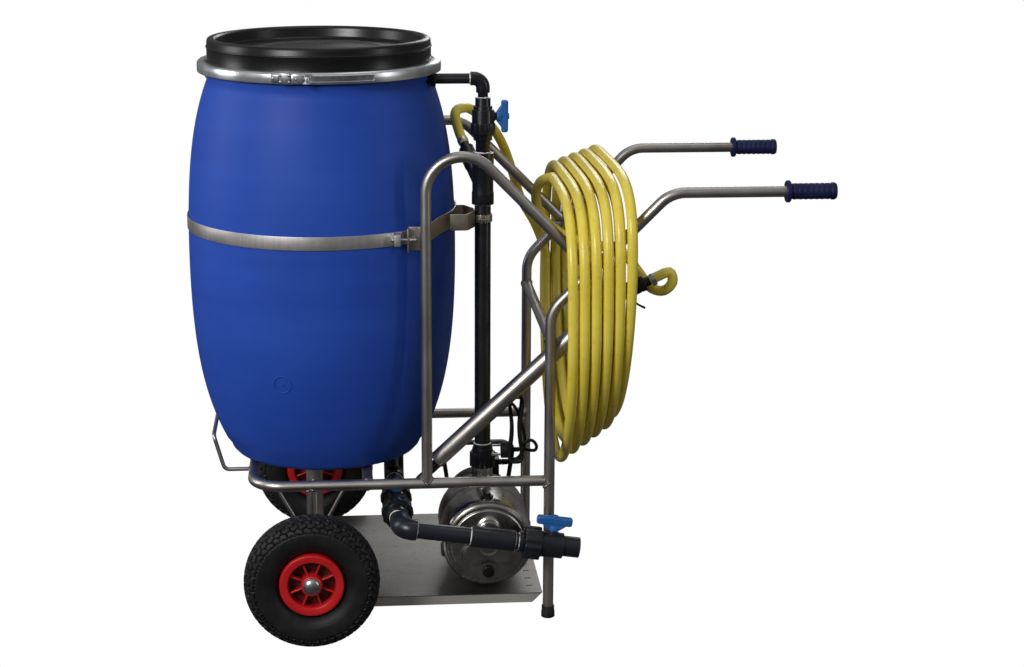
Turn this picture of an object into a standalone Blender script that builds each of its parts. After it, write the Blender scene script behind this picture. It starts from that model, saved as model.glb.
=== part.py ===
"""A wheeled sprayer cart: an open-head drum on a stainless tube frame, with a pump, its pipework, a coiled
hose and a spray lance. Metres, +Z up; the handles point along +X and the ground is z = 0."""

import math

import bmesh
import bpy
from mathutils import Matrix, Vector

GAP = 0.0003  # between pieces that touch

# Frame tubes
TUBE_R = 0.0105
TUBE_WALL = 0.0015
TUBE_SIDES = 8
LEG_X = 0.463
LEG_Y = 0.243
LEG_BEND_Z = 0.623
HANDLE_X = 0.686
HANDLE_Y = 0.265
HANDLE_Z = 0.855
HANDLE_BEND = 0.065
TIP_X = 1.002
RAIL_Y = 0.235
RAIL_Z = 0.281
FRONT_X = -0.113
RAIL_BEND = 0.060
BEARER_X = 0.110
CROSS_Z = 0.567
HOOP_X = 0.225
HOOP_TOP_Z = 0.923
HOOP_BEND = 0.070
HOOP_END_X = 0.5405
ROD_R = 0.004
BUMPER_X = -0.1715
BUMPER_Y = 0.120
BUMPER_Z = 0.352
BUMPER_BEND = 0.012

# Grips and feet
GRIP_L = 0.097
GRIP_R = 0.0155
GRIP_FLANGE_R = 0.021
GRIP_FLANGE_L = 0.008
GRIP_END_WALL = 0.004
GRIP_RIBS = 4
FOOT_H = 0.024
FOOT_R = 0.0135
FOOT_FLOOR = 0.004

# Drum and its lid
DRUM_X = 0.030
DRUM_BELLY_R = 0.2642
DRUM_BELLY_Z = 0.7018
DRUM_CURVE_H = 0.350  # this far above or below the belly the radius has fallen by the next two
DRUM_FALL_2 = 0.0245735
DRUM_FALL_4 = 0.0240580
DRUM_FLAT_R = 0.168
DRUM_SHOULDER_Z = 1.052
DRUM_RIM_Z = 1.068
DRUM_RIM_H = 0.008
DRUM_RIM_R = 0.2275
DRUM_RIM_W = 0.0225
DRUM_WALL = 0.0035
DRUM_SIDES = 36
DRUM_STEP = 360.0 / DRUM_SIDES
GASKET_H = 0.003
LID_OVERHANG = 0.0005  # of the lid's flange past the drum's rim
LID_FLANGE_W = 0.010
LID_FLANGE_H = 0.006
LID_RIM_W = 0.019
LID_H = 0.051
LID_PANEL_DROP = 0.024
LID_THICK = 0.0035
RING_ROOM = 0.0075  # from the lid's flange to the ring's inside
RING_H = 0.0215
RING_GAUGE = 0.0015
RING_LIP_ROOM = 0.004  # from the lid's wall to the ring's upper lip
BUCKLE_ANGLE = -102.5
BUCKLE_L = 0.040
LEVER_PIN_ANGLE = -95.0
LEVER_END_ANGLE = -63.0
LEVER_H = 0.014
LEVER_GAUGE = 0.004
LEVER_PIN_R = 0.002

# Strap and the bracket behind the drum
STRAP_Z = 0.765
STRAP_W = 0.026
STRAP_GAUGE = 0.002
STRAP_END_ANGLE = 50.0
LUG_X = 0.1655
LUG_L = 0.012
LUG_H = 0.0205
BOLT_Y = 0.237
BOLT_R = 0.003
BOLT_HEAD_R = 0.005
BOLT_HEAD_L = 0.004
BOLT_OUT = 0.010
CHANNEL_FRONT_X = 0.190
CHANNEL_H = 0.046
CHANNEL_W = 0.022
CHANNEL_GAUGE = 0.003
CRADLE_Z = 0.774
CRADLE_H = 0.034
CRADLE_ANGLE = 30.0
HAT_W = 0.097
HAT_DEPTH = 0.034
HAT_INSET = 0.036
CLAMP_H = 0.015
CLAMP_GAUGE = 0.0025

# Wheels and axle
AXLE_Z = 0.130
AXLE_R = 0.008
AXLE_END_Y = 0.3825
WHEEL_Y = 0.3475
WHEEL_SIDES = 24
TYRE_R = 0.130
TYRE_W = 0.080
TYRE_BEAD_R = 0.0645
TYRE_THICK = 0.007
RIM_W = 0.062
RIM_LIP_R = 0.0715
RIM_GAUGE = 0.0035
HUB_R = 0.0175
HUB_W = 0.066
SPOKES = 8
WINDOW_IN = 0.026
WINDOW_OUT = 0.050
CAP_R = 0.0165
CAP_L = 0.017
CAP_BORE_L = 0.0085
POST_R = 0.009
HANGER_W = 0.036
HANGER_GAUGE = 0.004
STAY_R = 0.0035
STAY_TOP_X = 0.067
STAY_END_X = 0.012
STAY_END_Z = 0.178

# Base plate
PLATE_TOP_Z = 0.049
PLATE_GAUGE = 0.002
PLATE_LIP = 0.020
PLATE_HALF_W = 0.239
PLATE_FRONT_X = -0.022
PLATE_CORNER = 0.020
SLOT_L = 0.012
SLOT_W = 0.004
SLOT_STEP = 0.020

# Holder tube, lance and gun
HOLDER_R = 0.01685
HOLDER_WALL = 0.0015
HOLDER_Z = 0.350
HOLDER_AT_X = 0.278
HOLDER_TILT = 43.4
HOLDER_START_X = 0.2445
HOLDER_END_X = 0.575
LANCE_R = 0.010
LANCE_LIFT = 0.0001  # for the flats of the faceted bore
LANCE_TIP_X = 0.202
LANCE_NOZZLE_R = 0.0078
LANCE_NOZZLE_L = 0.040
LANCE_END_X = 0.606
GUN_TILT = 25.0
GUN_R = 0.0155
GUN_L = 0.056
GUN_TAIL_R = 0.010
GUN_TAIL_L = 0.011
TRIGGER_L = 0.032
TRIGGER_W = 0.008
TRIGGER_GAUGE = 0.006
TRIGGER_TILT = -35.0
TRIGGER_PIN_R = 0.002

# Pump
PUMP_X = 0.345
PUMP_Z = 0.149
PUMP_R = 0.090
PUMP_FRONT_Y = -0.238
PUMP_BACK_Y = -0.040
COVER_R = 0.074
COVER_L = 0.010
COVER_LOBE_R = 0.022
COVER_LOBE_OUT = 0.040
PUMP_WALL = 0.003
PUMP_NECK_R = 0.021
PORT_Z = 0.181
PORT_R = 0.0205
MOTOR_R = 0.065
MOTOR_BACK_Y = 0.080
FOOT_PLATE_X = 0.080
FOOT_PLATE_H = 0.006
SHAFT_R = 0.006
IMPELLER_R = 0.060
IMPELLER_L = 0.020
PLUG_R = 0.0115
FILLER_Y = -0.205
DRAIN_Z = 0.095
BOX_X = 0.360
BOX_Y = 0.025
BOX_SIZE = 0.050
BOX_TOP_Z = 0.250
ARCH_HALF_W = 0.072
ARCH_TOP_Z = 0.262
ARCH_W = 0.022
ARCH_GAUGE = 0.009
ARCH_BEND = 0.020
ARCH_DRAW_IN = 0.0115

# Pipework
PIPE_R = 0.016
SOCKET_R = 0.0205
PIPE_BORE_R = 0.0125
RISER_Y = -0.070
UNION_Z = 0.2605
UNION_H = 0.030
UNION_R = 0.026
COLLAR_R = 0.021
WYE_Z = 0.801
WYE_H = 0.102
BRANCH_RISE = 0.037  # from the wye's lower end
BRANCH_WAY = (-0.030, 0.060, 0.067)
WYE_R = 0.0215
BRANCH_R = 0.017
BRANCH_L = 0.092
BRANCH_NECK_L = 0.022
BRANCH_NECK_R = 0.0145
BRANCH_BORE_R = 0.006
TAIL_R = 0.010
TAIL_L = 0.010
VALVE_R = 0.024
VALVE_BODY_R = 0.0215
VALVE_PIPE_R = 0.014
VALVE_BORE_R = 0.009
VALVE_STEM_RISE = 0.0707  # from the valve's lower end
RETURN_R = 0.010
RETURN_SOCKET_R = 0.0135
RETURN_SPIGOT_L = 0.037
RETURN_DROP = 0.0205  # from the drum's rim
RETURN_BEND = 0.018
SUCTION_Y = -0.290
SUCTION_TILT = 8.0
SUCTION_X = 0.172
SUCTION_Z = 0.209
SUCTION_BEND = 0.024
SUCTION_SOCKET_L = 0.030
TEE_START_X = 0.307
TEE_END_X = 0.392
DRAIN_START_X = 0.4095
DRAIN_NUT_R = 0.0325
DRAIN_NUT_END_X = 0.441
DRAIN_BODY_R = 0.025
DRAIN_BODY_END_X = 0.485
DRAIN_END_X = 0.5176
DRAIN_STEM_X = 0.4625
BLADE_L = 0.080
DRAIN_BLADE_L = 0.070
BLADE_W = 0.015
BLADE_H = 0.013
STEM_R = 0.009
OUTLET_X = 0.168
OUTLET_Y = 0.050
OUTLET_Z = 0.207
OUTLET_R = 0.0175
OUTLET_FLANGE_R = 0.026
OUTLET_FLANGE_H = 0.006
OUTLET_FACE_Y = 0.000
OUTLET_NUT_R = 0.0315
OUTLET_BODY_R = 0.025
OUTLET_STEM_Y = -0.145
RETURN_BLADE_L = 0.0635

# Hose
HOSE_R = 0.010
COIL_X = 0.509
COIL_PITCH = 0.0221
COIL_HALF_W = 0.290
COIL_LAYER = 0.0230
COIL_LAYER_TOP = 0.0238
COIL_LAYER_BOTTOM = 0.0285
COIL_INNER_TURNS = 4
COIL_OUTER_TURNS = 5
COIL_SHOULDER = 3.8
COIL_TOP_Z = 0.818
COIL_TOP_SLOPE = 0.34
COIL_BOTTOM_Z = 0.300
COIL_BOTTOM_SLOPE = 0.75
COIL_STEPS = 24

# Cable
CABLE_R = 0.00325
HANK_X = 0.402
HANK_Y = -0.1965
HANK_TOP_Z = 0.440
HANK_BOTTOM_Z = 0.306
HANK_HALF_W = 0.0215
HANK_WAIST = 0.0075
HANK_PITCH = 0.0072
HANK_TURNS = 4
PLUG_BODY_R = 0.0165
PLUG_BODY_L = 0.036
PIN_R = 0.0024
PIN_L = 0.019
PIN_SPACING = 0.019

# Looks: colour, roughness, metallic
LOOKS = {
    "stainless": ((0.42, 0.38, 0.34), 0.32, 1.0),
    "polished": ((0.55, 0.52, 0.49), 0.15, 1.0),
    "zinc": ((0.62, 0.63, 0.62), 0.30, 1.0),
    "drum_blue": ((0.012, 0.075, 0.42), 0.42, 0.0),
    "black_plastic": ((0.012, 0.012, 0.013), 0.38, 0.0),
    "pipe_grey": ((0.035, 0.037, 0.045), 0.35, 0.0),
    "handle_blue": ((0.010, 0.22, 0.62), 0.35, 0.0),
    "grip_blue": ((0.010, 0.014, 0.14), 0.50, 0.0),
    "rubber": ((0.015, 0.015, 0.015), 0.75, 0.0),
    "wheel_red": ((0.62, 0.010, 0.012), 0.38, 0.0),
    "hose_yellow": ((0.72, 0.52, 0.05), 0.40, 0.0),
    "cable_black": ((0.010, 0.010, 0.010), 0.50, 0.0),
}

X, Y, Z = Vector((1, 0, 0)), Vector((0, 1, 0)), Vector((0, 0, 1))


def drum_radius(z):
    """The drum's outer radius at this height."""
    share = (z - DRUM_BELLY_Z) / DRUM_CURVE_H
    return DRUM_BELLY_R - DRUM_FALL_2 * share**2 - DRUM_FALL_4 * share**4


# What follows from the dimensions above
STRAP_R = drum_radius(STRAP_Z - STRAP_W / 2) + GAP
AXLE_X = -(TIP_X + DRUM_X - STRAP_R - STRAP_GAUGE) / 2
DRUM_BOTTOM_Z = RAIL_Z + TUBE_R + GAP
TUBE_BORE_R = TUBE_R - TUBE_WALL
DRUM_MOUTH_R = DRUM_RIM_R - DRUM_RIM_W
LID_Z = DRUM_RIM_Z + GASKET_H + 2 * GAP
LID_FLANGE_R = DRUM_RIM_R + LID_OVERHANG
LID_WALL_R = LID_FLANGE_R - LID_FLANGE_W
LID_WELL_R = LID_WALL_R - LID_RIM_W
RING_R = LID_FLANGE_R + RING_ROOM + RING_GAUGE
RING_LIP_R = LID_WALL_R + RING_LIP_ROOM
HOLDER_SLOPE = math.tan(math.radians(HOLDER_TILT))
SUCTION_ANGLE = math.radians(SUCTION_TILT)
VALVE_LOW_Z = WYE_Z + WYE_H + GAP
VALVE_STEM_Z = VALVE_LOW_Z + VALVE_STEM_RISE
RETURN_Z = DRUM_RIM_Z - RETURN_DROP


def clear(radius, sides):
    """The radius of a bore of this many sides that leaves GAP round a bar of this radius."""
    return (radius + GAP) / math.cos(math.pi / sides)


def side_line(x):
    """(y, z) of the side tube's sloping part at this x."""
    t = (x - LEG_X) / (HANDLE_X - LEG_X)
    return LEG_Y + t * (HANDLE_Y - LEG_Y), LEG_BEND_Z + t * (HANDLE_Z - LEG_BEND_Z)


def holder_point(x):
    """The holder tube's axis at this x: it rests against the inner sides of the hoop and of the leg."""
    at_hoop = RAIL_Y - TUBE_R - GAP - HOLDER_R
    at_leg = LEG_Y - TUBE_R - GAP - HOLDER_R
    y = at_hoop + (x - HOOP_X) * (at_leg - at_hoop) / (LEG_X - HOOP_X)
    return Vector((x, -y, HOLDER_Z + (x - HOLDER_AT_X) * HOLDER_SLOPE))


def lance_point(x):
    """The lance lies on the bottom of the holder's bore."""
    drop = HOLDER_R - HOLDER_WALL - LANCE_R - GAP - LANCE_LIFT
    return holder_point(x) - Z * drop / math.cos(math.radians(HOLDER_TILT))


def suction_point(x):
    """The axis of the slanting pipe in front of the near leg."""
    return Vector((x, SUCTION_Y, SUCTION_Z - (x - SUCTION_X) * math.tan(SUCTION_ANGLE)))


# --- Lines ---------------------------------------------------------------------------------------------


def rounded(corners, radius, step=22.5):
    """A line of points through these corners, with each inner corner rounded to this radius."""
    corners = [Vector(c) for c in corners]
    radii = radius if isinstance(radius, (list, tuple)) else [radius] * (len(corners) - 2)
    line = [corners[0]]
    for before, corner, after, bend in zip(corners, corners[1:], corners[2:], radii):
        to_before, to_after = (before - corner).normalized(), (after - corner).normalized()
        turn = math.pi - to_before.angle(to_after)
        reach = bend * math.tan(turn / 2)
        start, end = corner + to_before * reach, corner + to_after * reach
        centre = corner + (to_before + to_after).normalized() * bend / math.cos(turn / 2)
        axis = (start - centre).cross(end - centre).normalized()
        count = max(2, math.ceil(math.degrees(turn) / step))
        for i in range(count + 1):
            line.append(centre + Matrix.Rotation(turn * i / count, 3, axis) @ (start - centre))
    line.append(corners[-1])
    return line


def smooth(points, spacing):
    """Evenly spaced points on a smooth curve through these points, whose first and last runs are straight."""
    points = [Vector(p) for p in points]
    fine = []
    for a, b, c, d in zip(points, points[1:], points[2:], points[3:]):
        ka, kb, kc = ((q - p).length ** 0.5 for p, q in ((a, b), (b, c), (c, d)))
        into = ((b - a) / ka - (c - a) / (ka + kb) + (c - b) / kb) * kb
        out = ((c - b) / kb - (d - b) / (kb + kc) + (d - c) / kc) * kb
        for i in range(16):
            t = i / 16
            t2, t3 = t * t, t * t * t
            ends = b * (2 * t3 - 3 * t2 + 1) + c * (3 * t2 - 2 * t3)
            fine.append(ends + into * (t3 - 2 * t2 + t) + out * (t3 - t2))
    fine.append(points[-2])
    total = sum((q - p).length for p, q in zip(fine, fine[1:]))
    count = max(2, round(total / spacing))
    curve = [point_along(fine, total * i / count) for i in range(count + 1)]
    return [points[0]] + curve + [points[-1]]


def point_along(line, distance):
    """The point at this distance along a line of points."""
    for p, q in zip(line, line[1:]):
        length = (q - p).length
        if distance <= length and length > 0:
            return p.lerp(q, distance / length)
        distance -= length
    return line[-1].copy()


def stepped(line, spans):
    """[(point, radius)] along a line: each span is (the distance where it ends, radius)."""
    reach = [0.0]
    for p, q in zip(line, line[1:]):
        reach.append(reach[-1] + (q - p).length)
    rings, start = [], 0.0
    for end, radius in spans:
        end = min(end, reach[-1])
        rings.append((point_along(line, start), radius))
        rings += [(p, radius) for p, d in zip(line, reach) if start + 1e-5 < d < end - 1e-5]
        rings.append((point_along(line, end), radius))
        start = end
    return rings


# --- Meshes --------------------------------------------------------------------------------------------


def lathe(profile, sides, closed=False):
    """(r, z) points turned about +Z. A profile that isn't closed starts and ends on the axis."""
    bm = bmesh.new()
    verts = [bm.verts.new((r, 0, z)) for r, z in profile]
    edges = [bm.edges.new(pair) for pair in zip(verts, verts[1:])]
    if closed:
        edges.append(bm.edges.new((verts[-1], verts[0])))
    bmesh.ops.spin(
        bm, geom=verts + edges, cent=(0, 0, 0), axis=(0, 0, 1), angle=math.tau, steps=sides, use_merge=True
    )
    bmesh.ops.remove_doubles(bm, verts=bm.verts, dist=1e-6)
    bmesh.ops.recalc_face_normals(bm, faces=bm.faces)
    return bm


def sweep(rings, sides, bore=0.0):
    """A bar, or a tube with this bore, round a line of (point, radius)."""
    points = [p for p, _ in rings]
    line = [points[0]] + [q for p, q in zip(points, points[1:]) if (q - p).length > 1e-6]
    tangents = []
    for i in range(len(line)):
        ahead = (line[min(i + 1, len(line) - 1)] - line[i]).normalized()
        back = (line[i] - line[max(i - 1, 0)]).normalized()
        tangents.append((ahead + back).normalized())
    side = tangents[0].orthogonal().normalized()
    frames = []
    for i, tangent in enumerate(tangents):
        side = (side - tangent * side.dot(tangent)).normalized()
        spread = 1.0
        if 0 < i < len(line) - 1:
            spread = 1 / max(0.5, (line[i] - line[i - 1]).normalized().dot(tangent))
        bend = (line[min(i + 1, len(line) - 1)] - line[i]).normalized() - (
            line[i] - line[max(i - 1, 0)]
        ).normalized()
        bend = bend.normalized() if bend.length > 1e-6 else side
        frames.append((line[i], tangent, side.copy(), bend, spread))
    bm = bmesh.new()

    def ring(frame, radius):
        centre, tangent, out, bend, spread = frame
        up = tangent.cross(out)
        made = []
        for k in range(sides):
            angle = math.tau * k / sides
            v = (out * math.cos(angle) + up * math.sin(angle)) * radius
            made.append(bm.verts.new(centre + v + bend * v.dot(bend) * (spread - 1)))
        return made

    def skin(loops):
        for a, b in zip(loops, loops[1:]):
            for k in range(sides):
                bm.faces.new((a[k], a[(k + 1) % sides], b[(k + 1) % sides], b[k]))

    outer, at = [], -1
    for i, (point, radius) in enumerate(rings):
        if i == 0 or (point - points[i - 1]).length > 1e-6:
            at += 1
        outer.append(ring(frames[at], radius))
    skin(outer)
    if bore:
        inner = [ring(frame, bore) for frame in frames]
        skin([loop[::-1] for loop in inner])
        for a, b in ((outer[0], inner[0]), (outer[-1], inner[-1])):
            for k in range(sides):
                bm.faces.new((a[k], b[k], b[(k + 1) % sides], a[(k + 1) % sides]))
    else:
        bm.faces.new(outer[0])
        bm.faces.new(outer[-1])
    bmesh.ops.recalc_face_normals(bm, faces=bm.faces)
    return bm


def tube(line, radius, bore=0.0, sides=TUBE_SIDES):
    return sweep([(Vector(p), radius) for p in line], sides, bore)


def bar(start, end, radius, sides=16):
    return tube([Vector(start), Vector(end)], radius, 0.0, sides)


def block(size, centre=(0, 0, 0), bevel=0.0, turn=None):
    """A box with its long edges rounded."""
    bm = bmesh.new()
    bmesh.ops.create_cube(bm, size=1)
    bmesh.ops.scale(bm, vec=size, verts=bm.verts)
    if bevel:
        bmesh.ops.bevel(bm, geom=bm.edges[:], offset=bevel, segments=1, profile=0.5, affect="EDGES")
    if turn is not None:
        bmesh.ops.rotate(bm, cent=(0, 0, 0), matrix=turn, verts=bm.verts)
    bmesh.ops.translate(bm, vec=centre, verts=bm.verts)
    bmesh.ops.recalc_face_normals(bm, faces=bm.faces)
    return bm


def prism(outline, low, high):
    """A flat outline of (x, y) points with straight sides from one height to another."""
    bm = bmesh.new()
    face = bm.faces.new([bm.verts.new((x, y, low)) for x, y in outline])
    raised = bmesh.ops.extrude_face_region(bm, geom=[face])
    moved = [v for v in raised["geom"] if isinstance(v, bmesh.types.BMVert)]
    bmesh.ops.translate(bm, vec=(0, 0, high - low), verts=moved)
    bmesh.ops.recalc_face_normals(bm, faces=bm.faces)
    return bm


def ribbon(path, gauge, low, high):
    """A standing strip of this gauge on the outer side (the right-hand side) of a line of (x, y) points."""
    points = [Vector(p) for p in path]
    out = []
    for i, point in enumerate(points):
        ahead = (points[min(i + 1, len(points) - 1)] - point).normalized()
        back = (point - points[max(i - 1, 0)]).normalized()
        along = (ahead + back).normalized()
        right = Vector((along.y, -along.x))
        reach = gauge / max(0.3, (ahead if ahead.length else back).dot(along))
        out.append(point + right * reach)
    return prism([tuple(p) for p in points] + [tuple(p) for p in reversed(out)], low, high)


# --- Objects -------------------------------------------------------------------------------------------


def clear_scene():
    for obj in list(bpy.data.objects):
        bpy.data.objects.remove(obj, do_unlink=True)


def material(name, look):
    colour, roughness, metallic = LOOKS[look]
    made = bpy.data.materials.new(name)
    made.use_nodes = True
    made.diffuse_color = (*colour, 1)
    shader = made.node_tree.nodes["Principled BSDF"]
    shader.inputs["Base Color"].default_value = (*colour, 1)
    shader.inputs["Roughness"].default_value = roughness
    shader.inputs["Metallic"].default_value = metallic
    return made


def place(name, data, origin=(0, 0, 0), direction=None):
    obj = bpy.data.objects.new(name, data)
    bpy.context.scene.collection.objects.link(obj)
    obj.parent = bpy.data.objects["cart"]
    obj.location = origin
    if direction is not None:
        obj.rotation_mode = "QUATERNION"
        obj.rotation_quaternion = Z.rotation_difference(Vector(direction))
    return obj


def make(name, bm, look, origin=(0, 0, 0), direction=None, sharp=32):
    mesh = bpy.data.meshes.new(name)
    bm.to_mesh(mesh)
    bm.free()
    mesh.materials.append(material(name, look))
    mesh.shade_smooth()
    mesh.set_sharp_from_angle(angle=math.radians(sharp))
    return place(name, mesh, origin, direction)


def shape(target, operation, bm, origin=(0, 0, 0), direction=None):
    """Adds this shape to the object, or cuts it out."""
    name = f"{target.name}_{operation.lower()}_{len(target.modifiers) + 1}"
    mesh = bpy.data.meshes.new(name)
    bm.to_mesh(mesh)
    bm.free()
    tool = place(name, mesh, origin, direction)
    tool.hide_render = True
    tool.display_type = "WIRE"
    modifier = target.modifiers.new(name, "BOOLEAN")
    modifier.operation = operation
    modifier.object = tool
    modifier.solver = "EXACT"
    return target


def join(target, bm, origin=(0, 0, 0), direction=None):
    return shape(target, "UNION", bm, origin, direction)


def cut(target, bm, origin=(0, 0, 0), direction=None):
    return shape(target, "DIFFERENCE", bm, origin, direction)


def cope(target, start, end, radius):
    """Cuts the end of a tube to sit round another tube."""
    return cut(target, bar(start, end, clear(radius, 20), 20))


def cord(name, points, radius, look, resolution):
    curve = bpy.data.curves.new(name, "CURVE")
    curve.dimensions = "3D"
    curve.bevel_depth = radius
    curve.bevel_resolution = resolution
    curve.use_fill_caps = True
    spline = curve.splines.new("POLY")
    spline.points.add(len(points) - 1)
    for point, at in zip(spline.points, points):
        point.co = (*at, 1)
    curve.materials.append(material(name, look))
    return place(name, curve)


# --- Frame ---------------------------------------------------------------------------------------------


def side_tube(side, end):
    line = rounded(
        [
            (LEG_X, side * LEG_Y, FOOT_FLOOR + GAP),
            (LEG_X, side * LEG_Y, LEG_BEND_Z),
            (HANDLE_X, side * HANDLE_Y, HANDLE_Z),
            (TIP_X - GRIP_END_WALL - GAP, side * HANDLE_Y, HANDLE_Z),
        ],
        HANDLE_BEND,
        16,
    )
    make("side_tube_" + end, tube(line, TUBE_R, TUBE_BORE_R), "stainless")


def foot_cap(side, end):
    profile = [
        (0, 0),
        (FOOT_R, 0),
        (FOOT_R, FOOT_FLOOR),
        (FOOT_R - 0.001, FOOT_H),
        (clear(TUBE_R, 12), FOOT_H),
        (clear(TUBE_R, 12), FOOT_FLOOR),
        (0, FOOT_FLOOR),
    ]
    make("foot_cap_" + end, lathe(profile, 12), "rubber", (LEG_X, side * LEG_Y, 0))


def grip(side, end):
    """A sleeve with a flange at its front, ribs along it and a closed end."""
    profile = [(0, GRIP_L), (GRIP_R - 0.003, GRIP_L), (GRIP_R + 0.001, GRIP_L - 0.003)]
    rib = (GRIP_L - GRIP_FLANGE_L - 0.012) / GRIP_RIBS
    z = GRIP_L - 0.008
    profile.append((GRIP_R + 0.001, z))
    for _ in range(GRIP_RIBS):
        profile += [(GRIP_R - 0.001, z - rib * 0.25), (GRIP_R, z - rib * 0.7)]
        z -= rib
    profile += [
        (GRIP_R, GRIP_FLANGE_L),
        (GRIP_FLANGE_R, GRIP_FLANGE_L),
        (GRIP_FLANGE_R, 0),
        (clear(TUBE_R, 12), 0),
        (clear(TUBE_R, 12), GRIP_L - GRIP_END_WALL),
        (0, GRIP_L - GRIP_END_WALL),
    ]
    make("grip_" + end, lathe(profile, 12), "grip_blue", (TIP_X - GRIP_L, side * HANDLE_Y, HANDLE_Z), X)


def hoop(side, end):
    """Up from the rail, over the bend and down at 45 degrees to the side tube."""
    top_z = HOOP_TOP_Z - HOOP_BEND + HOOP_BEND * math.tan(math.radians(67.5))
    end_y, end_z = side_line(HOOP_END_X)
    line = rounded(
        [(HOOP_X, side * RAIL_Y, RAIL_Z), (HOOP_X, side * RAIL_Y, top_z), (HOOP_END_X, side * end_y, end_z)],
        HOOP_BEND,
        20,
    )
    made = make("hoop_" + end, tube(line, TUBE_R, TUBE_BORE_R), "stainless")
    cope(made, (HOOP_X - 0.05, side * RAIL_Y, RAIL_Z), (HOOP_X + 0.05, side * RAIL_Y, RAIL_Z), TUBE_R)
    near, far = HOOP_END_X - 0.05, HOOP_END_X + 0.05
    start = (near, side * side_line(near)[0], side_line(near)[1])
    cope(made, start, (far, side * side_line(far)[0], side_line(far)[1]), TUBE_R)
    # The channel that the strap's bolt pulls on: two flanges and the web between them.
    depth = HOOP_X - TUBE_R + 0.002 - CHANNEL_FRONT_X
    centre_x = CHANNEL_FRONT_X + depth / 2
    channel = block((depth, CHANNEL_W, CHANNEL_H), (centre_x, side * RAIL_Y, STRAP_Z))
    inner = block(
        (depth - 2 * CHANNEL_GAUGE - 0.002, CHANNEL_W, CHANNEL_H + 0.02),
        (centre_x - 0.001, side * (RAIL_Y + CHANNEL_GAUGE), STRAP_Z),
    )
    join(made, channel)
    cut(made, inner)
    hole = (CHANNEL_FRONT_X + CHANNEL_GAUGE + 0.002, side * BOLT_Y, STRAP_Z)
    cut(made, bar((CHANNEL_FRONT_X - 0.01, side * BOLT_Y, STRAP_Z), hole, clear(BOLT_R, 12), 12))


def base_loop():
    corners = [
        (LEG_X, -RAIL_Y, RAIL_Z),
        (FRONT_X, -RAIL_Y, RAIL_Z),
        (FRONT_X, RAIL_Y, RAIL_Z),
        (LEG_X, RAIL_Y, RAIL_Z),
    ]
    made = make("base_loop", tube(rounded(corners, RAIL_BEND, 23), TUBE_R, TUBE_BORE_R), "stainless")
    for side in (-1, 1):
        cope(made, (LEG_X, side * LEG_Y, RAIL_Z - 0.05), (LEG_X, side * LEG_Y, RAIL_Z + 0.05), TUBE_R)


def drum_bearer():
    line = [(BEARER_X, -RAIL_Y, RAIL_Z), (BEARER_X, RAIL_Y, RAIL_Z)]
    made = make("drum_bearer", tube(line, TUBE_R, TUBE_BORE_R), "stainless")
    for side in (-1, 1):
        cope(made, (BEARER_X - 0.05, side * RAIL_Y, RAIL_Z), (BEARER_X + 0.05, side * RAIL_Y, RAIL_Z), TUBE_R)


def rear_cross_bar():
    line = [(LEG_X, -LEG_Y, CROSS_Z), (LEG_X, LEG_Y, CROSS_Z)]
    made = make("rear_cross_bar", tube(line, TUBE_R, TUBE_BORE_R), "stainless")
    for side in (-1, 1):
        cope(made, (LEG_X, side * LEG_Y, CROSS_Z - 0.05), (LEG_X, side * LEG_Y, CROSS_Z + 0.05), TUBE_R)


def bumper_rod():
    """A bent rod from the front tube, up to rest against the drum."""
    top_x = DRUM_X - drum_radius(BUMPER_Z + ROD_R) - GAP - ROD_R
    corners = [
        (FRONT_X, -BUMPER_Y, RAIL_Z),
        (BUMPER_X, -BUMPER_Y, RAIL_Z),
        (top_x, -BUMPER_Y, BUMPER_Z),
        (top_x, BUMPER_Y, BUMPER_Z),
        (BUMPER_X, BUMPER_Y, RAIL_Z),
        (FRONT_X, BUMPER_Y, RAIL_Z),
    ]
    made = make("bumper_rod", tube(rounded(corners, BUMPER_BEND, 30), ROD_R, sides=8), "stainless")
    cope(made, (FRONT_X, -BUMPER_Y - 0.03, RAIL_Z), (FRONT_X, BUMPER_Y + 0.03, RAIL_Z), TUBE_R)


def axle_bracket(side, end):
    """A post under the rail with a hanger plate down to the base plate, and two thin stays."""
    y = side * RAIL_Y
    made = make("axle_bracket_" + end, bar((0, y, AXLE_Z + 0.030), (0, y, RAIL_Z), POST_R), "stainless")
    low = PLATE_TOP_Z + GAP
    high = AXLE_Z + 0.055
    plate = block((HANGER_W, HANGER_GAUGE, high - low), (0, y, (low + high) / 2))
    join(made, plate)
    for way in (-1, 1):
        join(made, bar((way * STAY_TOP_X, y, RAIL_Z), (way * STAY_END_X, y, STAY_END_Z), STAY_R, 10))
    cope(made, (-0.12, y, RAIL_Z), (0.12, y, RAIL_Z), TUBE_R)
    cut(made, bar((0, y - 0.02, AXLE_Z), (0, y + 0.02, AXLE_Z), clear(AXLE_R, 24), 24))


def axle():
    make("axle", bar((0, 0, -AXLE_END_Y), (0, 0, AXLE_END_Y), AXLE_R), "stainless", (0, 0, AXLE_Z), Y)


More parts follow.
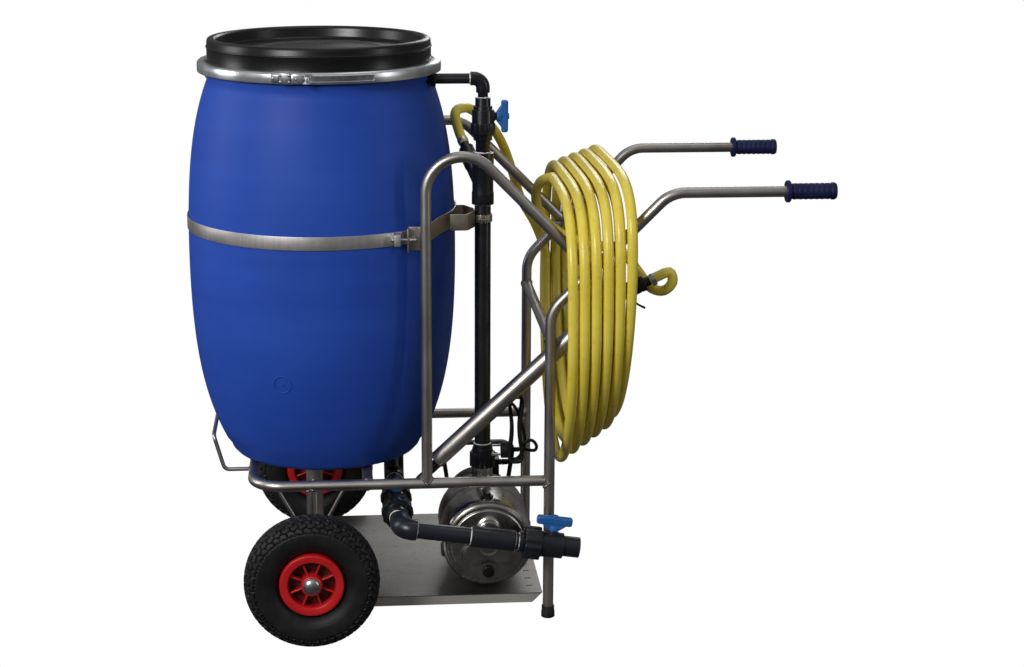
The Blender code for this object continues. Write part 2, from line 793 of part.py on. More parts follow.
def base_plate():
    """A sheet with its four edges folded down."""
    back = LEG_X - TUBE_R - GAP
    length, width = back - PLATE_FRONT_X, 2 * PLATE_HALF_W
    middle = (PLATE_FRONT_X + back) / 2
    full = block((length, width, PLATE_LIP), (middle, 0, PLATE_TOP_Z - PLATE_LIP / 2))
    made = make("base_plate", full, "stainless")
    inside = (length - 2 * PLATE_GAUGE, width - 2 * PLATE_GAUGE, PLATE_LIP)
    cut(made, block(inside, (middle, 0, PLATE_TOP_Z - PLATE_LIP / 2 - PLATE_GAUGE)))
    # The lower rear corners of the side lips are cut off at a slant.
    corner = Matrix.Rotation(math.radians(45), 3, "Y")
    size = PLATE_CORNER * math.sqrt(2)
    cut(made, block((size, width + 0.02, size), (back, 0, PLATE_TOP_Z - PLATE_LIP), turn=corner))
    for k in range(-5, 6):
        if k:
            at = (back - 0.022, k * SLOT_STEP * 2, PLATE_TOP_Z)
            cut(made, block((SLOT_L, SLOT_W, 0.02), at))


def holder_tube():
    line = [holder_point(HOLDER_START_X), holder_point(HOLDER_END_X)]
    make("holder_tube", tube(line, HOLDER_R, HOLDER_R - HOLDER_WALL, 20), "stainless")


# --- Drum ----------------------------------------------------------------------------------------------


def drum():
    low, wall = DRUM_BOTTOM_Z, DRUM_WALL
    heights = [low + share * (DRUM_SHOULDER_Z - low) for share in (0.03, 0.11, 0.25, 0.44, 0.64, 0.84)]
    outer = [(0, low), (DRUM_FLAT_R, low), (DRUM_FLAT_R + 0.014, low + 0.003), (DRUM_FLAT_R + 0.023, low + 0.010)]
    outer += [(drum_radius(z), z) for z in heights]
    rim_low = DRUM_RIM_Z - DRUM_RIM_H
    outer += [
        (drum_radius(DRUM_SHOULDER_Z), DRUM_SHOULDER_Z),
        (DRUM_RIM_R - 0.006, rim_low - 0.001),
        (DRUM_RIM_R, rim_low + 0.001),
        (DRUM_RIM_R, DRUM_RIM_Z),
        (DRUM_MOUTH_R, DRUM_RIM_Z),
        (DRUM_MOUTH_R, DRUM_SHOULDER_Z),
    ]
    inner = [(drum_radius(z) - wall, z) for z in heights[:0:-2]]
    inner += [(DRUM_FLAT_R + 0.012, low + wall + 0.004), (DRUM_FLAT_R, low + wall), (0, low + wall)]
    made = make("drum", lathe(outer + inner, DRUM_SIDES), "drum_blue", (DRUM_X, 0, 0), sharp=40)
    start = (PUMP_X, RISER_Y, RETURN_Z)
    cut(made, bar(start, (DRUM_X, RISER_Y, RETURN_Z), clear(RETURN_R, 20), 20))


def lid():
    """A flange that the ring grips, a standing wall and a sunk panel with one step."""
    top, base = LID_Z + LID_H, LID_Z
    panel = top - LID_PANEL_DROP
    profile = [
        (0, panel + 0.003),
        (LID_WELL_R * 0.62, panel + 0.003),
        (LID_WELL_R * 0.65, panel),
        (LID_WELL_R, panel),
        (LID_WELL_R + 0.001, top - 0.003),
        (LID_WELL_R + 0.005, top),
        (LID_WALL_R - 0.005, top),
        (LID_WALL_R, top - 0.004),
        (LID_WALL_R, base + LID_FLANGE_H),
        (LID_FLANGE_R, base + LID_FLANGE_H),
        (LID_FLANGE_R, base),
        (LID_WALL_R - LID_THICK, base),
        (LID_WALL_R - LID_THICK, top - 0.005),
        (LID_WELL_R + 0.001 + LID_THICK, top - 0.005),
        (LID_WELL_R + LID_THICK, panel - LID_THICK),
        (0, panel - LID_THICK),
    ]
    make("lid", lathe(profile, DRUM_SIDES), "black_plastic", (DRUM_X, 0, 0), sharp=40)


def lid_gasket():
    low = DRUM_RIM_Z + GAP
    inner, outer = LID_WALL_R - LID_THICK - 0.003, DRUM_RIM_R - 0.0015
    profile = [(inner, low), (outer, low), (outer, low + GASKET_H), (inner, low + GASKET_H)]
    make("lid_gasket", lathe(profile, DRUM_SIDES, True), "rubber", (DRUM_X, 0, 0))


def ring_base_z():
    return LID_Z + LID_FLANGE_H + GAP + RING_GAUGE - RING_H


def closing_ring():
    """A U-shaped band over the lid's flange and the drum's rim, with the latch's buckle on it."""
    low = ring_base_z()
    top = low + RING_H
    lip = max(clear(DRUM_RIM_R, DRUM_SIDES), clear(LID_FLANGE_R, DRUM_SIDES)) + 0.0003
    profile = [
        (RING_R, low),
        (RING_R, top - 0.003),
        (RING_R - 0.003, top),
        (RING_LIP_R, top),
        (RING_LIP_R, top - RING_GAUGE),
        (RING_R - RING_GAUGE - 0.001, top - RING_GAUGE),
        (RING_R - RING_GAUGE, low + RING_GAUGE),
        (lip, low + RING_GAUGE),
        (lip, low),
    ]
    made = make("closing_ring", lathe(profile, DRUM_SIDES, True), "zinc", (DRUM_X, 0, 0))
    middle = low + RING_H / 2
    angle = math.radians(BUCKLE_ANGLE)
    reach = RING_R + LEVER_GAUGE / 2 - 0.0008
    at = (DRUM_X + reach * math.cos(angle), reach * math.sin(angle), middle)
    turn = Matrix.Rotation(angle + math.pi / 2, 3, "Z")
    join(made, block((BUCKLE_L, LEVER_GAUGE + 0.003, LEVER_H), at, turn=turn))
    # Two ears above and below the lever's eye, and the pin through them.
    angle = math.radians(LEVER_PIN_ANGLE)
    pin = pin_place()
    turn = Matrix.Rotation(angle + math.pi / 2, 3, "Z")
    for way in (-1, 1):
        ear = (pin.x, pin.y, middle + way * (LEVER_H / 2 - 0.001))
        join(made, block((0.010, LEVER_GAUGE + 0.010, 0.002), ear, turn=turn))
    join(made, bar((pin.x, pin.y, middle - LEVER_H / 2), (pin.x, pin.y, middle + LEVER_H / 2), LEVER_PIN_R, 12))


def pin_place():
    angle = math.radians(LEVER_PIN_ANGLE)
    reach = RING_R + 0.0045
    return Vector((DRUM_X + reach * math.cos(angle), reach * math.sin(angle), ring_base_z() + RING_H / 2))


def ring_lever():
    """The curved closing lever, about the latch's upright pin."""
    pin = pin_place()
    height = LEVER_H - 2 * (0.002 + 2 * GAP)
    inner = RING_R + GAP + 0.0008
    path = []
    for k in range(7):
        angle = math.radians(LEVER_PIN_ANGLE + 0.5 + (LEVER_END_ANGLE - LEVER_PIN_ANGLE - 0.5) * k / 6)
        reach = inner + (0.004 if k == 6 else 0)
        path.append((DRUM_X + reach * math.cos(angle) - pin.x, reach * math.sin(angle) - pin.y))
    made = make("ring_lever", ribbon(path, LEVER_GAUGE, -height / 2, height / 2), "zinc", pin)
    join(made, bar((0, 0, -height / 2), (0, 0, height / 2), LEVER_PIN_R + 0.0017, 16), pin)
    cut(made, bar((0, 0, -height), (0, 0, height), clear(LEVER_PIN_R, 16), 16), pin)


def strap_lug(side):
    """The middle of the lug's front face, in line with its bolt."""
    return Vector((LUG_X, side * BOLT_Y, STRAP_Z))


def drum_strap():
    low, high = STRAP_Z - STRAP_W / 2, STRAP_Z + STRAP_W / 2
    steps = round((360 - 2 * STRAP_END_ANGLE) / DRUM_STEP)
    path = []
    for k in range(steps + 1):
        angle = math.radians(-STRAP_END_ANGLE - k * DRUM_STEP)
        path.append((DRUM_X + STRAP_R * math.cos(angle), STRAP_R * math.sin(angle)))
    path.reverse()
    made = make("drum_strap", ribbon(path, STRAP_GAUGE, low, high), "stainless")
    for side in (-1, 1):
        front = strap_lug(side)
        low_y = math.sqrt((STRAP_R + STRAP_GAUGE) ** 2 - (LUG_X - DRUM_X) ** 2) - STRAP_GAUGE
        lug = (LUG_X + LUG_L / 2, side * (low_y + LUG_H / 2), STRAP_Z)
        join(made, block((LUG_L, LUG_H, STRAP_W - 0.004), lug))
        cut(made, bar(front - X * 0.03, front + X * 0.03, clear(BOLT_R, 12), 12))


def strap_bolt(side, end):
    """Its head bears on the lug and its nut on the inner side of the channel's front flange."""
    front = strap_lug(side)
    start = front - X * (GAP + BOLT_HEAD_L)
    nut = CHANNEL_FRONT_X + CHANNEL_GAUGE + GAP
    line = [start, Vector((nut + BOLT_HEAD_L + BOLT_OUT, front.y, front.z))]
    spans = [
        (BOLT_HEAD_L, BOLT_HEAD_R),
        (nut - start.x, BOLT_R),
        (nut - start.x + BOLT_HEAD_L, BOLT_HEAD_R),
        (1, BOLT_R),
    ]
    make("strap_bolt_" + end, sweep(stepped(line, spans), 8), "zinc")


def riser_bracket():
    """A band behind the drum between the two hoops, a hat-shaped strip on it and the riser's clamp."""
    low, high = CRADLE_Z - CRADLE_H / 2, CRADLE_Z + CRADLE_H / 2
    radius = drum_radius(low) + GAP
    steps = round(CRADLE_ANGLE / DRUM_STEP)
    path = [(HOOP_X + 0.004, -RAIL_Y + 0.004)]
    for k in range(-steps, steps + 1):
        angle = math.radians(k * DRUM_STEP)
        path.append((DRUM_X + radius * math.cos(angle), radius * math.sin(angle)))
    path.append((HOOP_X + 0.004, RAIL_Y - 0.004))
    made = make("riser_bracket", ribbon(path, CHANNEL_GAUGE, low, high), "stainless")
    base_x = DRUM_X + radius * math.cos(math.radians(2 * DRUM_STEP)) - 0.002
    front = PUMP_X - PIPE_R - GAP - CLAMP_GAUGE
    hat = [
        (base_x + 0.002, RISER_Y - HAT_W / 2),
        (base_x + HAT_DEPTH, RISER_Y - HAT_W / 2),
        (front, RISER_Y - HAT_W / 2 + HAT_INSET),
        (front, RISER_Y + HAT_W / 2 - HAT_INSET),
        (base_x + HAT_DEPTH, RISER_Y + HAT_W / 2),
        (base_x + 0.018, RISER_Y + HAT_W / 2),
    ]
    join(made, ribbon(hat, CHANNEL_GAUGE, low + 0.001, high - 0.001))
    inner, outer = clear(PIPE_R, 24), clear(PIPE_R, 24) + CLAMP_GAUGE
    z = CRADLE_Z - CLAMP_H / 2
    ring = [(inner, z), (outer, z), (outer, z + CLAMP_H), (inner, z + CLAMP_H)]
    cut(made, bar((PUMP_X, RISER_Y, low - 0.01), (PUMP_X, RISER_Y, high + 0.01), clear(PIPE_R, 24) + 0.0012, 24))
    join(made, lathe(ring, 24, True), (PUMP_X, RISER_Y, 0))
    for side in (-1, 1):
        cope(made, (HOOP_X, side * RAIL_Y, low - 0.02), (HOOP_X, side * RAIL_Y, high + 0.02), TUBE_R)


# --- Wheels --------------------------------------------------------------------------------------------


def tyre(side, end):
    half, inner = TYRE_W / 2, TYRE_THICK
    seat = clear(TYRE_BEAD_R - 0.001, WHEEL_SIDES)
    bead = RIM_W / 2 - RIM_GAUGE - GAP
    outer = [
        (seat, bead - 0.006),
        (seat, bead),
        (RIM_LIP_R + 0.001, bead),
        (RIM_LIP_R + 0.004, half - 0.007),
        (0.102, half),
        (TYRE_R - 0.005, half - 0.009),
        (TYRE_R, half - 0.022),
    ]
    cavity = [(TYRE_R - inner, half - 0.024), (0.102, half - inner), (seat + 0.008, bead - 0.006)]
    profile = [(r, -z) for r, z in outer] + [(r, z) for r, z in reversed(outer)]
    profile += [(r, z) for r, z in reversed(cavity)] + [(r, -z) for r, z in cavity]
    make("tyre_" + end, lathe(profile, WHEEL_SIDES, True), "rubber", (0, side * WHEEL_Y, AXLE_Z), Y * side)


def rim(side, end):
    """A barrel with two lips, eight spokes and a long hub."""
    half, gauge = RIM_W / 2, RIM_GAUGE
    barrel = TYRE_BEAD_R - 0.001
    web_in, web_out = 0.004, 0.010
    profile = [
        (clear(AXLE_R, 24), -HUB_W / 2),
        (HUB_R, -HUB_W / 2),
        (HUB_R, web_in),
        (barrel - gauge, web_in),
        (barrel - gauge, -half),
        (RIM_LIP_R, -half),
        (RIM_LIP_R, -half + gauge),
        (barrel, -half + gauge),
        (barrel, half - gauge),
        (RIM_LIP_R, half - gauge),
        (RIM_LIP_R, half),
        (barrel - gauge, half),
        (barrel - gauge, web_out),
        (HUB_R, web_out),
        (HUB_R, HUB_W / 2),
        (clear(AXLE_R, 24), HUB_W / 2),
    ]
    made = make("rim_" + end, lathe(profile, WHEEL_SIDES, True), "wheel_red", (0, side * WHEEL_Y, AXLE_Z), Y * side)
    windows = bmesh.new()
    for k in range(SPOKES):
        middle = math.tau * (k + 0.5) / SPOKES
        corners = []
        for r, spread in ((WINDOW_IN, 0.16), (WINDOW_OUT, 0.27), (WINDOW_OUT, -0.27), (WINDOW_IN, -0.16)):
            corners.append((r * math.cos(middle + spread), r * math.sin(middle + spread)))
        piece = prism(corners, 0.0, 0.022)
        mesh = bpy.data.meshes.new("window")
        piece.to_mesh(mesh)
        piece.free()
        windows.from_mesh(mesh)
        bpy.data.meshes.remove(mesh)
    cut(made, windows, (0, side * WHEEL_Y, AXLE_Z), Y * side)


def hub_cap(side, end):
    """A domed cap over the axle's end."""
    start = WHEEL_Y + HUB_W / 2 + GAP
    depth = AXLE_END_Y + GAP - start
    dome = [(0, 0.0078), (CAP_R - 0.009, 0.0068), (CAP_R - 0.003, 0.0045), (CAP_R, 0.002), (CAP_R, 0)]
    dome += [(clear(AXLE_R, 12), 0), (clear(AXLE_R, 12), depth), (0, depth)]
    make("hub_cap_" + end, lathe(dome, 12), "zinc", (0, side * start, AXLE_Z), Y * side)


# --- Pump ----------------------------------------------------------------------------------------------


def pump_body():
    """A cup open to the front, with the outlet's neck on top."""
    length = PUMP_BACK_Y - PUMP_FRONT_Y - COVER_L - GAP
    wall = PUMP_WALL
    profile = [
        (COVER_R - 0.002, 0),
        (COVER_R + 0.004, 0),
        (PUMP_R, 0.014),
        (PUMP_R, length - 0.012),
        (PUMP_R - 0.008, length),
        (clear(SHAFT_R, 24), length),
        (clear(SHAFT_R, 24), length - wall),
        (PUMP_R - wall, length - wall - 0.008),
        (PUMP_R - wall, 0.019),
        (COVER_R - 0.002, 0.006),
    ]
    start = (PUMP_X, PUMP_FRONT_Y + COVER_L + GAP, PUMP_Z)
    made = make("pump_body", lathe(profile, 24, True), "polished", start, Y)
    top = UNION_Z - GAP
    join(made, bar((PUMP_X, RISER_Y, PUMP_Z + PUMP_R - 0.0045), (PUMP_X, RISER_Y, top), PUMP_NECK_R, 16))
    cut(made, bar((PUMP_X, RISER_Y, PUMP_Z + 0.05), (PUMP_X, RISER_Y, top + 0.01), PIPE_BORE_R, 12))


def front_cover():
    """The pressed front disc: a raised three-armed boss, with the suction port through it."""
    profile = [
        (0, 0.004),
        (0.030, 0.004),
        (COVER_R - 0.012, 0.004),
        (COVER_R - 0.004, 0),
        (COVER_R, 0.003),
        (COVER_R, COVER_L),
        (0, COVER_L),
    ]
    start = (PUMP_X, PUMP_FRONT_Y, PUMP_Z)
    made = make("front_cover", lathe(profile, 24), "polished", start, Y)
    for angle in (90, 210, 330):
        way = Vector((math.cos(math.radians(angle)), 0, math.sin(math.radians(angle))))
        out = Vector(start) + way * COVER_LOBE_OUT
        join(made, bar(out + Y * 0.0055, out - Y * 0.0035, COVER_LOBE_R * (1 if angle == 90 else 0.55), 8))
    at = Vector((PUMP_X, PUMP_FRONT_Y, PORT_Z))
    join(made, bar(at + Y * 0.006, at - Y * 0.012, PORT_R + 0.0015, 16))
    cut(made, bar(at + Y * 0.03, at - Y * 0.03, PIPE_BORE_R, 12))
    cut(made, bar(Vector((PUMP_X, PUMP_FRONT_Y - 0.03, DRAIN_Z)), (PUMP_X, PUMP_FRONT_Y + 0.006, DRAIN_Z), 0.007, 12))


def drain_plug():
    at = Vector((PUMP_X, PUMP_FRONT_Y, DRAIN_Z))
    profile = [
        (0, -0.005),
        (PLUG_R - 0.002, -0.005),
        (PLUG_R, -0.003),
        (PLUG_R, 0.004 - GAP - 0.0045),
        (0.0065, 0.004 - GAP - 0.0045),
        (0.0065, 0.0055),
        (0, 0.0055),
    ]
    make("drain_plug", lathe(profile, 12), "black_plastic", at, Y)


def filler_plug():
    """Screwed into the top of the pump body."""
    surface = PUMP_Z + PUMP_R
    made = make(
        "filler_plug",
        bar((PUMP_X, FILLER_Y, surface - 0.006), (PUMP_X, FILLER_Y, surface + 0.010), PLUG_R, 20),
        "black_plastic",
    )
    length = 0.2
    cut(
        made,
        bar((PUMP_X, FILLER_Y - length / 2, PUMP_Z), (PUMP_X, FILLER_Y + length / 2, PUMP_Z), PUMP_R + 2 * GAP, 80),
    )


def pump_rotor():
    """The shaft and the impeller on it."""
    front = PUMP_FRONT_Y + COVER_L + 0.070
    back = PUMP_BACK_Y + GAP + 0.040 - 0.001
    length = back - front
    profile = [
        (0, 0),
        (IMPELLER_R, 0),
        (IMPELLER_R, IMPELLER_L),
        (0.014, IMPELLER_L),
        (0.014, IMPELLER_L + 0.012),
        (SHAFT_R, IMPELLER_L + 0.012),
        (SHAFT_R, length),
        (0, length),
    ]
    make("pump_rotor", lathe(profile, 12), "polished", (PUMP_X, front, PUMP_Z), Y)


def motor():
    """The motor's case on its foot, with a bore for the shaft."""
    start = PUMP_BACK_Y + GAP
    length = MOTOR_BACK_Y - start
    profile = [
        (0, 0.040),
        (clear(SHAFT_R, 24), 0.040),
        (clear(SHAFT_R, 24), 0),
        (MOTOR_R - 0.006, 0),
        (MOTOR_R, 0.006),
        (MOTOR_R, length - 0.012),
        (MOTOR_R - 0.012, length),
        (0, length),
    ]
    made = make("motor", lathe(profile, 24), "black_plastic", (PUMP_X, start, PUMP_Z), Y)
    low = PLATE_TOP_Z + GAP
    foot_y = start + length * 0.45
    join(made, block((2 * FOOT_PLATE_X, 0.060, FOOT_PLATE_H), (PUMP_X, foot_y, low + FOOT_PLATE_H / 2)))
    web_top = PUMP_Z - MOTOR_R + 0.010
    web = block((0.070, 0.040, web_top - low - 0.002), (PUMP_X, foot_y, (web_top + low + 0.002) / 2))
    join(made, web)


def terminal_box():
    """The square box on the motor, with the cable's gland on its side."""
    middle = (BOX_TOP_Z + PUMP_Z + MOTOR_R - 0.012) / 2
    height = BOX_TOP_Z - (PUMP_Z + MOTOR_R - 0.012)
    made = make("terminal_box", block((BOX_SIZE, BOX_SIZE, height), (BOX_X, BOX_Y, middle), 0.002), "black_plastic")
    join(made, bar(gland_place() - X * 0.012, gland_place(), 0.006, 12))
    motor_line = ((PUMP_X, BOX_Y - 0.1, PUMP_Z), (PUMP_X, BOX_Y + 0.1, PUMP_Z))
    cut(made, bar(*motor_line, clear(MOTOR_R, 64), 64))


def gland_place():
    return Vector((BOX_X + BOX_SIZE / 2 + 0.008, BOX_Y, BOX_TOP_Z - 0.014))


def carry_handle():
    """A flat arch over the motor's rear end."""
    y = MOTOR_BACK_Y - 0.013
    corners = [
        (PUMP_X - ARCH_HALF_W + ARCH_DRAW_IN, y, PUMP_Z + 0.020),
        (PUMP_X - ARCH_HALF_W, y, ARCH_TOP_Z),
        (PUMP_X + ARCH_HALF_W, y, ARCH_TOP_Z),
        (PUMP_X + ARCH_HALF_W - ARCH_DRAW_IN, y, PUMP_Z + 0.020),
    ]
    line = rounded(corners, ARCH_BEND, 30)
    flat = [(p.x, p.z) for p in line]
    bm = ribbon(flat[::-1], ARCH_GAUGE, -ARCH_W / 2, ARCH_W / 2)
    made = make("carry_handle", bm, "black_plastic", (0, y, 0))
    made.rotation_mode = "QUATERNION"
    made.rotation_quaternion = Matrix(((1, 0, 0), (0, 0, -1), (0, 1, 0))).to_quaternion()
    axis = ((PUMP_X, y - 0.05, PUMP_Z), (PUMP_X, y + 0.05, PUMP_Z))
    cut(made, bar(*axis, clear(MOTOR_R, 64), 64))


# --- Pipework ------------------------------------------------------------------------------------------


def outlet_fitting():
    """From the drum's floor down, then towards the near side."""
    top = DRUM_BOTTOM_Z - GAP
    corners = [(OUTLET_X, OUTLET_Y, top), (OUTLET_X, OUTLET_Y, OUTLET_Z), (OUTLET_X, OUTLET_FACE_Y, OUTLET_Z)]
    line = rounded(corners, SUCTION_BEND, 22.5)
    total = sum((q - p).length for p, q in zip(line, line[1:]))
    spans = [
        (OUTLET_FLANGE_H, OUTLET_FLANGE_R),
        (0.040, OUTLET_R),
        (total - 0.008, SOCKET_R),
        (total, PIPE_R),
    ]
    make("outlet_fitting", sweep(stepped(line, spans), 14), "pipe_grey")


def elbow_start():
    """Where the slanting line's elbow meets the outlet valve's pipe."""
    return SUCTION_Y + 0.046


def outlet_valve():
    start, end = OUTLET_FACE_Y - GAP, elbow_start() + GAP
    line = [Vector((OUTLET_X, start, OUTLET_Z)), Vector((OUTLET_X, end, OUTLET_Z))]
    spans = [
        (0.060, PIPE_R),
        (0.088, SOCKET_R + 0.002),
        (0.118, OUTLET_NUT_R),
        (0.172, OUTLET_BODY_R),
        (0.200, OUTLET_NUT_R),
        (0.226, SOCKET_R + 0.001),
        (1, PIPE_R),
    ]
    made = make("outlet_valve", sweep(stepped(line, spans), 12), "pipe_grey")
    low, high = stem_span(OUTLET_Z, OUTLET_BODY_R, PIPE_BORE_R)
    join(made, bar((OUTLET_X, OUTLET_STEM_Y, low), (OUTLET_X, OUTLET_STEM_Y, high), STEM_R, 16))


def stem_span(axis, body, bore):
    return axis + bore + 0.003, axis + body + 0.005


def blade(name, length, origin, turn):
    """A T-shaped valve handle: a blade on a short skirt, about the stem's axis."""
    skirt = 0.007
    made = make(name, bar((0, 0, GAP), (0, 0, skirt + 0.002), STEM_R + 0.002, 16), "handle_blue", origin)
    made.rotation_mode = "QUATERNION"
    made.rotation_quaternion = turn.to_quaternion()
    body = block((length, BLADE_W, BLADE_H), (0, 0, skirt + BLADE_H / 2), 0.003)
    tool = join(made, body, origin)
    helper = tool.modifiers[-1].object
    helper.rotation_mode = "QUATERNION"
    helper.rotation_quaternion = turn.to_quaternion()
    return made


def outlet_handle():
    top = stem_span(OUTLET_Z, OUTLET_BODY_R, PIPE_BORE_R)[1]
    blade("outlet_handle", BLADE_L, (OUTLET_X, OUTLET_STEM_Y, top), Matrix.Identity(3))


def suction_line():
    """The elbow, the slanting pipe and the tee in front of the pump, with its branch to the suction port."""
    end = suction_point(DRAIN_START_X - GAP)
    corners = [(SUCTION_X, elbow_start(), SUCTION_Z), suction_point(SUCTION_X), end]
    line = rounded(corners, SUCTION_BEND, 30)
    lengths = [(q - p).length for p, q in zip(line, line[1:])]
    total = sum(lengths)
    tilt = math.cos(SUCTION_ANGLE)

    def reach(x):
        return total - (DRAIN_START_X - GAP - x) / tilt

    spans = [
        (reach(SUCTION_X + SUCTION_SOCKET_L), SOCKET_R),
        (reach(TEE_START_X), PIPE_R),
        (reach(TEE_END_X), SOCKET_R),
        (reach(DRAIN_START_X - 0.010), PIPE_R),
        (total, SOCKET_R),
    ]
    made = make("suction_line", sweep(stepped(line, spans), 12), "pipe_grey")
    at = suction_point(PUMP_X)
    port = Vector((PUMP_X, PUMP_FRONT_Y - 0.012 - GAP, PORT_Z))
    join(made, bar((PUMP_X, at.y, PORT_Z), port, SOCKET_R - 0.0008, 14))


def drain_valve():
    """The union nut, the valve's body and its open end."""
    line = [suction_point(DRAIN_START_X), suction_point(DRAIN_END_X)]
    tilt = math.cos(SUCTION_ANGLE)
    spans = [
        ((DRAIN_NUT_END_X - DRAIN_START_X) / tilt, DRAIN_NUT_R),
        ((DRAIN_BODY_END_X - DRAIN_START_X) / tilt, DRAIN_BODY_R),
        (1, SOCKET_R - 0.0005),
    ]
    made = make("drain_valve", sweep(stepped(line, spans), 14, PIPE_BORE_R), "pipe_grey")
    at, up = suction_point(DRAIN_STEM_X), drain_up()
    low, high = stem_span(0, DRAIN_BODY_R, PIPE_BORE_R)
    join(made, bar(at + up * low, at + up * high, STEM_R, 16))


def drain_up():
    return Vector((math.sin(SUCTION_ANGLE), 0, math.cos(SUCTION_ANGLE)))


def drain_handle():
    top = suction_point(DRAIN_STEM_X) + drain_up() * stem_span(0, DRAIN_BODY_R, PIPE_BORE_R)[1]
    blade("drain_handle", DRAIN_BLADE_L, top, Matrix.Rotation(SUCTION_ANGLE, 3, "Y"))


def riser():
    """The union on the pump and the upright pipe."""
    line = [Vector((PUMP_X, RISER_Y, UNION_Z)), Vector((PUMP_X, RISER_Y, WYE_Z - GAP))]
    spans = [
        (UNION_H, UNION_R),
        (UNION_H + 0.008, COLLAR_R),
        (UNION_H + 0.018, COLLAR_R - 0.002),
        (1, PIPE_R),
    ]
    make("riser", sweep(stepped(line, spans), 14, PIPE_BORE_R), "pipe_grey")


def branch_start():
    return Vector((PUMP_X, RISER_Y, WYE_Z + BRANCH_RISE))


def wye():
    """An upright body with a slanting branch that ends in the hose tail."""
    line = [Vector((PUMP_X, RISER_Y, WYE_Z)), Vector((PUMP_X, RISER_Y, WYE_Z + WYE_H))]
    made = make("wye", sweep([(p, WYE_R) for p in line], 14), "pipe_grey")
    start = branch_start()
    way = Vector(BRANCH_WAY).normalized()
    branch = [start, start + way * (BRANCH_L + TAIL_L)]
    spans = [(BRANCH_L - BRANCH_NECK_L, BRANCH_R), (BRANCH_L, BRANCH_NECK_R), (1, TAIL_R)]
    join(made, sweep(stepped(branch, spans), 14))
    cut(made, bar(line[0] - Z * 0.01, line[1] + Z * 0.01, PIPE_BORE_R, 12))
    cut(made, bar(start, branch[1] + way * 0.01, BRANCH_BORE_R, 12))


def return_valve():
    line = [Vector((PUMP_X, RISER_Y, VALVE_LOW_Z)), Vector((PUMP_X, RISER_Y, RETURN_Z - RETURN_SPIGOT_L))]
    spans = [(0.024, VALVE_PIPE_R), (0.036, 0.0185), (0.058, VALVE_R), (0.084, VALVE_BODY_R), (1, VALVE_PIPE_R + 0.001)]
    made = make("return_valve", sweep(stepped(line, spans), 14), "pipe_grey")
    low, high = stem_span(0, VALVE_BODY_R, VALVE_BORE_R)
    at = Vector((PUMP_X, RISER_Y, VALVE_STEM_Z))
    join(made, bar(at + X * low, at + X * high, STEM_R - 0.001, 16))


def return_handle():
    at = Vector((PUMP_X + stem_span(0, VALVE_BODY_R, VALVE_BORE_R)[1], RISER_Y, VALVE_STEM_Z))
    blade("return_handle", RETURN_BLADE_L, at, Matrix.Rotation(math.pi / 2, 3, "Y"))


def return_pipe():
    """Up from the valve, round an elbow and through the drum's neck."""
    x_end = DRUM_X + math.sqrt(drum_radius(RETURN_Z) ** 2 - RISER_Y**2) - 0.018
    low = RETURN_Z - RETURN_SPIGOT_L + GAP
    corners = [(PUMP_X, RISER_Y, low), (PUMP_X, RISER_Y, RETURN_Z), (x_end, RISER_Y, RETURN_Z)]
    line = rounded(corners, RETURN_BEND, 22.5)
    spans = [(0.010, RETURN_R), (0.052, RETURN_SOCKET_R), (1, RETURN_R)]
    make("return_pipe", sweep(stepped(line, spans), 12), "pipe_grey")


# --- Lance and gun -------------------------------------------------------------------------------------


def lance():
    tip, end = lance_point(LANCE_TIP_X), lance_point(LANCE_END_X)
    spans = [(0.006, LANCE_NOZZLE_R - 0.002), (LANCE_NOZZLE_L, LANCE_NOZZLE_R), (1, LANCE_R)]
    made = make("lance", sweep(stepped([tip, end], spans), 12), "pipe_grey")
    way = (end - tip).normalized()
    cut(made, bar(tip - way * 0.01, tip + way * (LANCE_NOZZLE_L * 0.6), 0.002, 10))


def gun_way():
    tilt = math.radians(GUN_TILT)
    return Vector((math.cos(tilt), 0, math.sin(tilt)))


def gun_start():
    return lance_point(LANCE_END_X) - gun_way() * 0.012


def gun_tail():
    return gun_start() + gun_way() * (GUN_L + GUN_TAIL_L)


def trigger_pin():
    down = gun_way().cross(Y).normalized()
    down = down if down.z < 0 else -down
    return gun_start() + gun_way() * 0.020 + down * (GUN_R + 0.004)


def gun():
    """The pistol body, in line with the hose's tail, with an ear and a pin for the trigger."""
    start, way = gun_start(), gun_way()
    spans = [(0.004, GUN_R - 0.003), (GUN_L, GUN_R), (1, GUN_TAIL_R)]
    made = make("gun", sweep(stepped([start, gun_tail()], spans), 14), "black_plastic")
    pin = trigger_pin()
    ear_y = TRIGGER_W / 2 + GAP + 0.002
    turn = Matrix.Rotation(-math.radians(GUN_TILT), 3, "Y")
    join(made, block((0.012, 0.004, 0.020), pin + Y * (ear_y) + Z * 0.006, turn=turn))
    join(made, bar(pin - Y * (TRIGGER_W / 2 + 0.001), pin + Y * ear_y, TRIGGER_PIN_R, 12))
    end = lance_point(LANCE_END_X)
    line = (end - lance_point(LANCE_TIP_X)).normalized()
    cut(made, bar(end - line * 0.04, end + line * GAP, clear(LANCE_R, 20), 20))


def trigger():
    pin = trigger_pin()
    tilt = math.radians(TRIGGER_TILT)
    way = Vector((math.cos(tilt), 0, math.sin(tilt)))
    bm = bar(-Y * TRIGGER_W / 2, Y * TRIGGER_W / 2, TRIGGER_PIN_R + 0.002, 16)
    made = make("trigger", bm, "black_plastic", pin)
    turn = Matrix.Rotation(-tilt, 3, "Y")
    lever = block((TRIGGER_L, TRIGGER_W - 0.001, TRIGGER_GAUGE - 0.0025), way * TRIGGER_L / 2, turn=turn)
    join(made, lever, pin)
    cut(made, bar(-Y * TRIGGER_W, Y * TRIGGER_W, clear(TRIGGER_PIN_R, 16), 16), pin)


# --- Hose ----------------------------------------------------------------------------------------------


